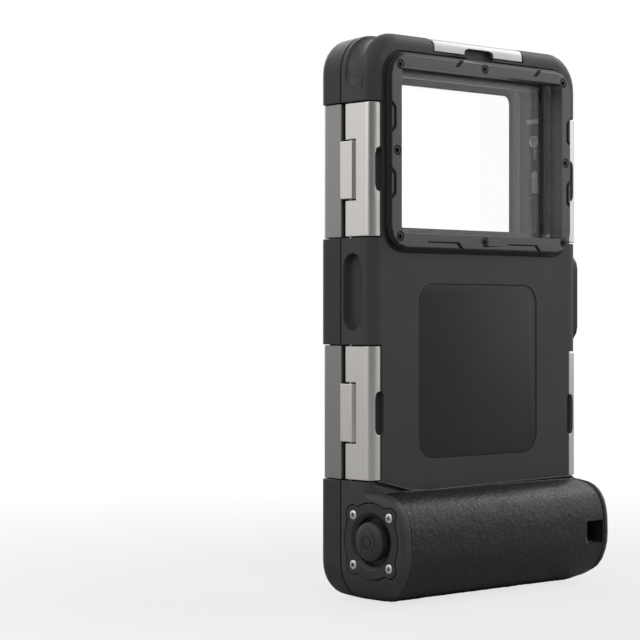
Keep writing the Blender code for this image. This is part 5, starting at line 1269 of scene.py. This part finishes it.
@dataclass
class GripLeather:
    """The leather cover of the grip, with its grain modelled in the surface."""

    wardrobe: Wardrobe
    node: str = "grip_skin"
    axis_place: tuple[float, float] = (0.0036, 0.0194)
    points_per_metre: float = 1e5
    step: float = 0.00046
    softening: int = 40
    divisions: tuple[int, int] = (14, 13)
    thickness: float = 0.00115
    smooth_degrees: float = 50.0
    case_half: tuple[float, float] = (0.055, 0.1)
    case_radius: float = 0.0137
    trim_y: float = -0.01
    trim_depth: float = 0.05
    pocket_gap: float = 0.0003
    scoop_half: float = 0.00765
    scoop_radii: tuple[float, float] = (0.0057, 0.0035)
    eyelet_low: tuple[float, float, float] = (-0.0512, 0.0, 0.0157)
    eyelet_high: tuple[float, float, float] = (-0.0420, 0.03, 0.0241)
    relief_turn_degrees: float = 32.0
    grain_size: tuple[float, float, float] = (0.0034, 0.0019, 0.0015)
    grain_depth: float = 0.00026
    grain_strength: float = 1.6
    fold_size: tuple[float, float, float] = (0.011, 0.007, 0.006)
    fold_depth: float = 0.00022

    def build(self) -> None:
        """Puts the grained cover in the place of the plain one."""
        line = self.profile(frame["nodes"][self.node])
        low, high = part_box(self.node)
        ends = (low.x, high.x)
        cover = self.sheet(line, ends)
        inner = [vertex.index for vertex in cover.data.vertices if self.is_inside(vertex.co, line, ends)]
        cover.vertex_groups.new(name="grain").add(inner, 1.0, "REPLACE")
        self.emboss(cover, Relief.FOLDS, self.fold_size, self.fold_depth)
        self.emboss(cover, Relief.GRAIN, self.grain_size, self.grain_depth)
        Bench.modify(cover, "SOLIDIFY", thickness=self.thickness, offset=-1.0)
        low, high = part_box("latch_lever_bottom")
        margin = Vector((self.pocket_gap, self.pocket_gap, self.pocket_gap))
        Bench.cut(cover, Bench.block(Vector(self.eyelet_low), Vector(self.eyelet_high)))
        Bench.cut(cover, Bench.block(low - margin, high + margin))
        Bench.cut(cover, self.scoop())
        Bench.cut(cover, self.trim(), "INTERSECT")
        Bench.smooth(cover, self.smooth_degrees)
        self.wardrobe.dress(cover, SKIN)
        take_place(cover, self.node)
        LOG.info("grained the grip's cover with %d faces", len(cover.data.polygons))

    def profile(self, node: Item) -> list[Vector]:
        """Follows the cover's outer line round the grip, in even steps.

        Args:
            node: The plain cover.

        Returns:
            The line's points, with X at zero, from the top to the bottom.
        """
        corners = {}
        for face in node.data.polygons:
            if abs(face.normal.x) > 0.3 or not self.is_outer(face):
                continue
            for index in face.vertices:
                _, y, z = node.data.vertices[index].co
                key = (round(y * self.points_per_metre), round(z * self.points_per_metre))
                corners[key] = Vector((0.0, y, z))
        places = sorted(corners.values(), key=self.angle, reverse=True)
        line = [places[0]]
        for start, end in zip(places, places[1:]):
            count = max(1, round((end - start).length / self.step))
            line += [start.lerp(end, number / count) for number in range(1, count + 1)]
        for _ in range(self.softening):
            middle = [(a + 2 * b + c) / 4 for a, b, c in zip(line, line[1:], line[2:])]
            line = [line[0], *middle, line[-1]]
        return line

    def angle(self, place: Vector) -> float:
        """Returns a point's angle round the grip, from the bottom over the rear to the top."""
        return math.atan2(place.z - self.axis_place[1], place.y - self.axis_place[0])

    def is_outer(self, face: bpy.types.MeshPolygon) -> bool:
        """Says whether a face lies on the outside of the cover."""
        radial = Vector((0.0, face.center.y - self.axis_place[0], face.center.z - self.axis_place[1]))
        return face.normal.dot(radial.normalized()) > 0.45

    def sheet(self, line: list[Vector], ends: tuple[float, float]) -> Item:
        """Draws a line out along the grip and divides it into a fine grid.

        Args:
            line: The line round the grip.
            ends: The low and high X of the cover.

        Returns:
            The sheet, with its faces outwards.
        """
        name = f"fine_{self.node}"
        mesh = bpy.data.meshes.new(name)
        edges = [(number, number + 1) for number in range(len(line) - 1)]
        mesh.from_pydata([(ends[0], point.y, point.z) for point in line], edges, [])
        sheet = Bench.adopt(name, mesh)
        with Bench.editing(sheet, kind="EDGE"):
            bpy.ops.mesh.extrude_region_move(TRANSFORM_OT_translate={"value": (ends[1] - ends[0], 0.0, 0.0)})
        for cuts in self.divisions:
            with Bench.editing(sheet, lambda edge: self.runs_along(sheet, edge), "EDGE"):
                bpy.ops.mesh.subdivide(number_cuts=cuts)
        if max(sheet.data.polygons, key=lambda face: face.center.y).normal.y < 0.0:
            with Bench.editing(sheet):
                bpy.ops.mesh.flip_normals()
        return sheet

    def runs_along(self, sheet: Item, edge: bpy.types.MeshEdge) -> bool:
        """Says whether an edge runs along the grip."""
        first, second = (sheet.data.vertices[index].co for index in edge.vertices)
        return abs(first.x - second.x) > MERGE_DISTANCE

    def is_inside(self, place: Vector, line: list[Vector], ends: tuple[float, float]) -> bool:
        """Says whether a point lies away from the sheet's border.

        Args:
            place: The point.
            line: The line round the grip.
            ends: The low and high X of the cover.

        Returns:
            Whether it does.
        """
        across = Vector((0.0, place.y, place.z))
        near_end = min(place.x - ends[0], ends[1] - place.x) < self.step
        near_root = any((across - root).length < self.step for root in (line[0], line[-1]))
        return not (near_end or near_root)

    def scoop(self) -> Item:
        """Models the cutter of the fingertip scoop behind the bottom latch.

        Returns:
            The cutter.
        """
        cutter = Bench.solid(
            bpy.ops.mesh.primitive_cylinder_add,
            (0.0, BACK_Y, 0.0),
            vertices=64,
            radius=1.0,
            depth=2 * self.scoop_half,
            rotation=(0.0, math.pi / 2, 0.0),
        )
        cutter.scale = (1.0, *self.scoop_radii)
        Bench.settle(cutter)
        return cutter

    def trim(self) -> Item:
        """Models the case's rounded outline, which ends the cover at the lower corners.

        Returns:
            The solid that the cover stays inside.
        """
        outline = Bench.plate("skin_trim", self.case_half, self.case_radius, self.trim_depth)
        place = Matrix.Translation((0.0, self.trim_y, self.case_half[1]))
        outline.data.transform(place @ Bench.upright)
        return outline

    def emboss(self, cover: Item, relief: Relief, size: Place, depth: float) -> None:
        """Presses a pattern into the outside.

        Args:
            cover: The leather cover.
            relief: The pattern.
            size: The size of its features along, across and up, before they are turned.
            depth: How deep it is pressed.
        """
        Bench.clear_selection()
        bpy.ops.object.empty_add(location=ORIGIN)
        guide = bpy.context.active_object
        guide.rotation_euler = (0.0, math.radians(self.relief_turn_degrees), 0.0)
        guide.scale = size
        texture = bpy.data.textures.new(relief.name, relief.value)
        texture.noise_scale = 1.0
        if relief is Relief.GRAIN:
            texture.weight_1 = -1.0
            texture.weight_2 = 1.0
            texture.noise_intensity = self.grain_strength
        bpy.context.view_layer.update()
        Bench.modify(
            cover,
            "DISPLACE",
            texture=texture,
            texture_coords="OBJECT",
            texture_coords_object=guide,
            vertex_group="grain",
            mid_level=1.0,
            strength=depth,
        )
        bpy.data.objects.remove(guide)
        bpy.data.textures.remove(texture)


@dataclass
class LipBead:
    """The thin raised edge that ends the back above the grip."""

    wardrobe: Wardrobe
    carvings: Carvings
    radius: float = 0.00034
    rise: float = -0.00002
    lift_share: float = 0.6
    ends: tuple[tuple[float, float], ...] = ((-0.0508, -1.0), (0.0513, 1.0))

    def build(self) -> None:
        """Lays the bead along the lip and cuts it off at both ends."""
        bead = self.carvings.tube(self.radius, self.rise, -self.radius * self.lift_share)
        bead.name = "grip_lip"
        for x, outward in self.ends:
            side = {"plane_co": (x, 0.0, 0.0), "plane_no": (outward, 0.0, 0.0)}
            with Bench.editing(bead):
                bpy.ops.mesh.bisect(**side, use_fill=True, clear_outer=True)
        Bench.smooth(bead)
        self.wardrobe.dress(bead, BODY)
        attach(bead, "rear_case")
        LOG.info("laid the lip over the grip")


@dataclass
class WallFittings:
    """The plunger, the hub and the shelf on each inner wall, beside the camera window.

    A rod has its radius, its low Z and its high Z. A boss has its radius and the X of its
    foot and of its face.
    """

    wardrobe: Wardrobe
    middle_x: float = -0.0400
    middle_y: float = -0.00395
    sides: int = 32
    barrel: tuple[float, float, float] = (0.0013, 0.1474, 0.1535)
    collar: tuple[float, float, float] = (0.0016, 0.1528, 0.1546)
    head_radius: float = 0.00125
    hub_z: float = 0.1669
    hub_boss: tuple[float, float, float] = (0.0023, -0.0413, -0.0389)
    hub_hollow: tuple[float, float, float] = (0.0013, -0.0396, -0.0380)
    hub_stem: tuple[float, float, float] = (0.0006, 0.1605, 0.1650)
    shelf_x: float = -0.03835
    shelf_z: float = 0.1744
    shelf_size: tuple[float, float, float] = (0.0005, 0.0054, 0.0016)
    edge: float = 0.00012

    def build(self) -> None:
        """Models the fittings of the left wall and turns copies of them to the right wall."""
        across = Matrix.Translation((0.0, self.middle_y, 0.0))
        turned = across @ Matrix.Rotation(math.pi, 4, "Z") @ across.inverted()
        for name, master in {"plunger": self.plunger(), "hub": self.hub(), "shelf": self.shelf()}.items():
            Bench.modify(master, "BEVEL", width=self.edge, segments=2)
            Bench.smooth(master)
            self.wardrobe.dress(master, FITTING)
            master.name = f"wall_{name}_left"
            for piece in (master, Bench.moved_copy(master, f"wall_{name}_right", turned)):
                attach(piece, "rear_case")
        LOG.info("fitted the inner walls")

    def plunger(self) -> Item:
        """Models the plunger: a barrel with a collar and a round head.

        Returns:
            The plunger.
        """
        plunger = self.rod(*self.barrel)
        Bench.cut(plunger, self.rod(*self.collar), "UNION")
        place = (self.middle_x, self.middle_y, self.collar[2])
        sphere = bpy.ops.mesh.primitive_uv_sphere_add
        head = Bench.solid(sphere, place, segments=self.sides, ring_count=16, radius=self.head_radius)
        Bench.cut(plunger, head, "UNION")
        return plunger

    def hub(self) -> Item:
        """Models the hub: a round boss with a hollow face and a short stem under it.

        Returns:
            The hub.
        """
        hub = self.boss(*self.hub_boss)
        Bench.cut(hub, self.rod(*self.hub_stem), "UNION")
        Bench.cut(hub, self.boss(*self.hub_hollow))
        return hub

    def shelf(self) -> Item:
        """Models the thin shelf over the hub."""
        place = (self.shelf_x, self.middle_y, self.shelf_z)
        return Bench.solid(bpy.ops.mesh.primitive_cube_add, place, self.shelf_size, size=1.0)

    def rod(self, radius: float, low: float, high: float) -> Item:
        """Models an upright rod on the plunger's axis.

        Args:
            radius: Its radius.
            low: The height of its foot.
            high: The height of its top.

        Returns:
            The rod.
        """
        place = (self.middle_x, self.middle_y, (low + high) / 2)
        cylinder = bpy.ops.mesh.primitive_cylinder_add
        return Bench.solid(cylinder, place, vertices=self.sides, radius=radius, depth=high - low)

    def boss(self, radius: float, foot_x: float, face_x: float) -> Item:
        """Models a round boss that stands out of the wall.

        Args:
            radius: Its radius.
            foot_x: The X of its foot.
            face_x: The X of its face.

        Returns:
            The boss.
        """
        return Bench.solid(
            bpy.ops.mesh.primitive_cylinder_add,
            ((foot_x + face_x) / 2, self.middle_y, self.hub_z),
            vertices=self.sides,
            radius=radius,
            depth=face_x - foot_x,
            rotation=(0.0, math.pi / 2, 0.0),
        )


@dataclass
class BackPanel:
    """The bare, darker inlay in the shallow recess of the back."""

    wardrobe: Wardrobe
    half_width: float = 0.03105
    low_z: float = 0.04995
    high_z: float = 0.11186
    floor_y: float = 0.0050
    radius: float = 0.0068
    thickness: float = 0.00035
    edge_share: float = 0.4

    def build(self) -> None:
        """Lays the inlay into the recess."""
        half_height = (self.high_z - self.low_z) / 2
        inlay = Bench.plate("back_panel", (self.half_width, half_height), self.radius, self.thickness)
        with Bench.editing(inlay, lambda face: face.normal.z > 0.9):
            bpy.ops.mesh.bevel(offset=self.thickness * self.edge_share, segments=2, affect="EDGES")
        place = Matrix.Translation((0.0, self.floor_y, self.low_z + half_height))
        inlay.data.transform(place @ Bench.upright)
        Bench.smooth(inlay)
        self.wardrobe.dress(inlay, PANEL)
        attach(inlay, "rear_case")
        LOG.info("laid in the back panel")


@dataclass
class ShutterMark:
    """The engraved outline of a camera, a plain sign for the shutter, on the button."""

    button: Item
    depth: float = 0.0004
    line: float = 0.0003
    body_half: tuple[float, float] = (0.0027, 0.0047)
    hump_half: tuple[float, float] = (0.0013, 0.0020)
    corner: float = 0.0009
    lens: float = 0.0021

    def build(self) -> None:
        """Engraves the outline into the button's face."""
        low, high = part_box("shutter_button")
        middle = (low + high) / 2
        place = Matrix.Translation((high.x - self.depth, middle.y, middle.z)) @ Axis.X.turn
        outer = self.silhouette(0.0, 4 * self.depth)
        inner = self.silhouette(self.line, 6 * self.depth)
        inner.data.transform(Matrix.Translation((0.0, 0.0, -self.depth)))
        Bench.cut(outer, inner)
        for cutter in (outer, self.ring()):
            cutter.data.transform(place)
            Bench.cut(self.button, cutter)
        LOG.info("engraved the shutter mark")

    def silhouette(self, inset: float, height: float) -> Item:
        """Models the camera's outline, upright along the case, drawn in by an inset.

        Args:
            inset: How far its sides are drawn in.
            height: Its thickness.

        Returns:
            The outline as a thick plate.
        """
        body_half, hump_half = ([side - inset for side in half] for half in (self.body_half, self.hump_half))
        body = Bench.plate("mark_body", body_half, self.corner, height)
        hump = Bench.plate("mark_hump", hump_half, self.hump_half[0] * 0.6, height)
        hump.data.transform(Matrix.Translation((self.body_half[0], 0.0, 0.0)))
        Bench.cut(body, hump, "UNION")
        return body

    def ring(self) -> Item:
        """Models the ring that stands for the lens.

        Returns:
            The ring.
        """
        place = (0.0, 0.0, 2 * self.depth)
        cylinder = bpy.ops.mesh.primitive_cylinder_add
        ring = Bench.solid(cylinder, place, vertices=48, radius=self.lens, depth=4 * self.depth)
        hole = Bench.solid(cylinder, place, vertices=48, radius=self.lens - self.line, depth=8 * self.depth)
        Bench.cut(ring, hole)
        return ring


@dataclass
class TripodThread:
    """The threaded insert of the tripod seat, with its flange and its helical thread."""

    wardrobe: Wardrobe
    node: str = "tripod_insert"
    pitch_mm: float = 1.27
    tooth_mm: float = 0.55
    foot_share: float = 0.45
    sink_share: float = 0.1
    start_share: float = 0.6
    facets: int = 64

    def build(self) -> None:
        """Puts a threaded sleeve in the place of the plain insert."""
        node = frame["nodes"][self.node]
        sleeve = Bench.moved_copy(node, f"fine_{self.node}", Matrix.Identity(4))
        Bench.face_outwards(sleeve)
        Bench.smooth(sleeve)
        take_place(sleeve, self.node)
        thread = self.thread(sleeve)
        self.wardrobe.dress(thread, THREAD)
        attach(thread, node["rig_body"])
        LOG.info("threaded the tripod insert")

    def thread(self, sleeve: Item) -> Item:
        """Sweeps one tooth along a helix inside the sleeve.

        Args:
            sleeve: The sleeve, whose bore runs along X.

        Returns:
            The thread.
        """
        low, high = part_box(self.node)
        middle = (low + high) / 2
        bore = min((vertex.co - middle).yz.length for vertex in sleeve.data.vertices)
        pitch = self.pitch_mm * MILLIMETRE
        tooth = self.tooth_mm * MILLIMETRE
        circle = bpy.ops.mesh.primitive_circle_add
        thread = Bench.solid(circle, vertices=3, radius=tooth, fill_type="NGON")
        thread.name = "tripod_thread"
        foot_x = bore + self.sink_share * tooth
        foot_z = self.foot_share * pitch
        corners = ((foot_x, foot_z), (foot_x, -foot_z), (bore - tooth, 0.0))
        for vertex, (x, z) in zip(thread.data.vertices, corners):
            vertex.co = (x, 0.0, z)
        Bench.modify(
            thread,
            "SCREW",
            axis="Z",
            steps=self.facets,
            render_steps=self.facets,
            screw_offset=pitch,
            iterations=int((high.x - low.x) / pitch) - 1,
        )
        Bench.face_outwards(thread)
        start = Matrix.Translation((low.x + pitch * self.start_share, middle.y, middle.z))
        thread.data.transform(start @ Axis.X.turn)
        Bench.smooth(thread)
        return thread


@dataclass(frozen=True)
class Lamp:
    """A soft square lamp that faces the case."""

    name: str
    place: tuple[float, float, float]
    size: float
    power: float
    mirrored: bool = True

    def build(self) -> None:
        """Hangs the lamp."""
        data = bpy.data.lights.new(self.name, "AREA")
        data.size = self.size
        data.energy = self.power
        lamp = Bench.adopt(self.name, data)
        lamp.location = self.place
        aim = Vector((0.0, 0.0, 0.1)) - Vector(self.place)
        lamp.rotation_euler = aim.to_track_quat("-Z", "Y").to_euler()
        lamp.visible_glossy = self.mirrored


@dataclass
class Studio:
    """The floor, the lamps, the white surround and the camera.

    The surround is darker in reflections on two sides. Each darkness says how far towards its
    side it starts and is full, as a cosine, and how dark it gets.
    """

    camera_place: tuple[float, float, float] = (0.5397, 0.5113, 0.0991)
    camera_heading_degrees: float = 137.64
    lens_mm: float = 113.9
    sensor_mm: float = 36.0
    floor_size: float = 6.0
    floor_grey: float = 0.45
    floor_roughness: float = 0.85
    floor_gloss: float = 0.1
    floor_fade: tuple[float, float, float, float] = (0.12, 0.42, 0.75, 1.0)
    surround: float = 0.3
    camera_darkness: tuple[float, float, float] = (0.6, 0.92, 0.85)
    rear_darkness: tuple[float, float, float] = (-0.25, 0.3, 0.6)
    lamps: tuple[Lamp, ...] = (
        Lamp("key_lamp", (0.55, 0.75, 0.85), 0.7, 6.0, mirrored=False),
        Lamp("fill_lamp", (-0.9, 0.55, 0.55), 0.9, 3.0),
        Lamp("side_lamp", (0.95, -0.15, 0.65), 0.7, 2.2),
        Lamp("rim_lamp", (-0.85, 0.05, 0.85), 0.6, 2.3),
        Lamp("front_lamp", (-0.35, -1.0, 0.6), 0.9, 4.5),
    )

    @property
    def camera_side(self) -> Vector:
        """Returns the level direction from the case to the camera."""
        heading = math.radians(self.camera_heading_degrees)
        return Vector((math.sin(heading), -math.cos(heading), 0.0))

    def build(self) -> None:
        """Builds the whole studio."""
        self.make_floor()
        self.make_surround()
        for lamp in self.lamps:
            lamp.build()
        self.make_camera()

    def make_floor(self) -> None:
        """Makes the floor, which fades into the white surround away from the case."""
        floor = Bench.solid(bpy.ops.mesh.primitive_plane_add, size=self.floor_size)
        floor.name = "floor"
        pattern = Pattern("floor_paper", (self.floor_grey,) * 3, self.floor_roughness)
        pattern.set("Specular IOR Level", self.floor_gloss)
        length = pattern.add("ShaderNodeVectorMath", operation="LENGTH")
        pattern.feed(length.inputs[0], pattern.place)
        far = pattern.ranged(length.outputs["Value"], *self.floor_fade)
        rays = pattern.add("ShaderNodeLightPath").outputs
        seen = pattern.math("MAXIMUM", rays["Is Camera Ray"], rays["Is Transmission Ray"])
        glow = pattern.add("ShaderNodeEmission")
        pattern.feed(glow.inputs["Strength"], 1.0)
        blend = pattern.add("ShaderNodeMixShader")
        parts = (pattern.math("MULTIPLY", far, seen), pattern.shader.outputs[0], glow.outputs[0])
        for target, value in zip(blend.inputs, parts):
            pattern.feed(target, value)
        pattern.feed(pattern.tree.nodes["Material Output"].inputs["Surface"], blend.outputs[0])
        floor.data.materials.append(pattern.material)

    def make_surround(self) -> None:
        """Makes the surround white where it is seen, and softer as a light."""
        world = bpy.data.worlds.new("surround")
        world.use_nodes = True
        bpy.context.scene.world = world
        nodes = Nodes(world.node_tree)
        rays = nodes.add("ShaderNodeLightPath").outputs
        seen = nodes.math("MAXIMUM", rays["Is Camera Ray"], rays["Is Glossy Ray"])
        seen = nodes.math("MAXIMUM", seen, rays["Is Transmission Ray"])
        strength = nodes.ranged(seen, 0.0, 1.0, self.surround, 1.0)
        through = nodes.math("SUBTRACT", 1.0, rays["Is Transmission Ray"])
        mirrored = nodes.math("MULTIPLY", rays["Is Glossy Ray"], through)
        direction = nodes.add("ShaderNodeTexCoord").outputs["Generated"]
        sides = ((self.camera_side, *self.camera_darkness), (Axis.Y.vector, *self.rear_darkness))
        for side, low, high, darkness in sides:
            towards = nodes.add("ShaderNodeVectorMath", operation="DOT_PRODUCT")
            nodes.feed(towards.inputs[0], direction)
            nodes.feed(towards.inputs[1], side)
            dark = nodes.ranged(towards.outputs["Value"], low, high, 0.0, darkness)
            share = nodes.math("MULTIPLY", dark, mirrored)
            strength = nodes.math("MULTIPLY", strength, nodes.math("SUBTRACT", 1.0, share))
        background = world.node_tree.nodes["Background"]
        nodes.feed(background.inputs["Color"], (1.0, 1.0, 1.0, 1.0))
        nodes.feed(background.inputs["Strength"], strength)

    def make_camera(self) -> None:
        """Makes the camera that sees the case from its camera side."""
        data = bpy.data.cameras.new("camera")
        data.lens = self.lens_mm
        data.sensor_width = self.sensor_mm
        data.clip_start = 0.01
        camera = Bench.adopt("camera", data)
        camera.location = self.camera_place
        camera.rotation_euler = (-self.camera_side).to_track_quat("-Z", "Y").to_euler()
        bpy.context.scene.camera = camera
        bpy.context.scene.view_settings.view_transform = "Standard"


def numbered(name: str, count: int) -> tuple[str, ...]:
    """Returns a node's names with their numbers from 1 to a count."""
    return tuple(f"{name}_{number}" for number in range(1, count + 1))


def screw_sets(wardrobe: Wardrobe) -> list[ScrewSet]:
    """Lists the case's kinds of screws.

    Args:
        wardrobe: The finishes.

    Returns:
        One set for each kind.
    """
    sliders = ("slider_screw_left", "slider_screw_right")
    bezel = (numbered("bezel_screw", 8), Axis.Y, Drive.HEXAGON, BLACK_SCREW, 0.27, 0.52, 0.0)
    tripod = (numbered("tripod_screw", 2), Axis.MINUS_X, Drive.HEXAGON, BLACK_SCREW, 0.3, 0.55, 0.0)
    shutter = (numbered("shutter_screw", 4), Axis.X, Drive.CROSS, STEEL)
    tray = (numbered("tray_screw", 2), Axis.MINUS_Y, Drive.CROSS, HOLDER_SCREW)
    slider = (sliders, Axis.MINUS_Y, Drive.CROSS, HOLDER_SCREW)
    return [ScrewSet(wardrobe, *kind) for kind in (bezel, tripod, shutter, tray, slider)]


def main() -> None:
    """Builds the studio, dresses the case and adds its fine pieces."""
    logging.basicConfig(level=logging.INFO, format="%(message)s")
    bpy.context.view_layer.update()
    Studio().build()
    wardrobe = Wardrobe()
    carvings = Carvings()
    Dressing(wardrobe).build()
    fine = FineCopies(wardrobe, carvings).build()
    GripLeather(wardrobe).build()
    LipBead(wardrobe, carvings).build()
    WallFittings(wardrobe).build()
    BackPanel(wardrobe).build()
    ShutterMark(fine["shutter_button"]).build()
    for screws in screw_sets(wardrobe):
        screws.build()
    TripodThread(wardrobe).build()


if __name__ == "__main__":
    main()
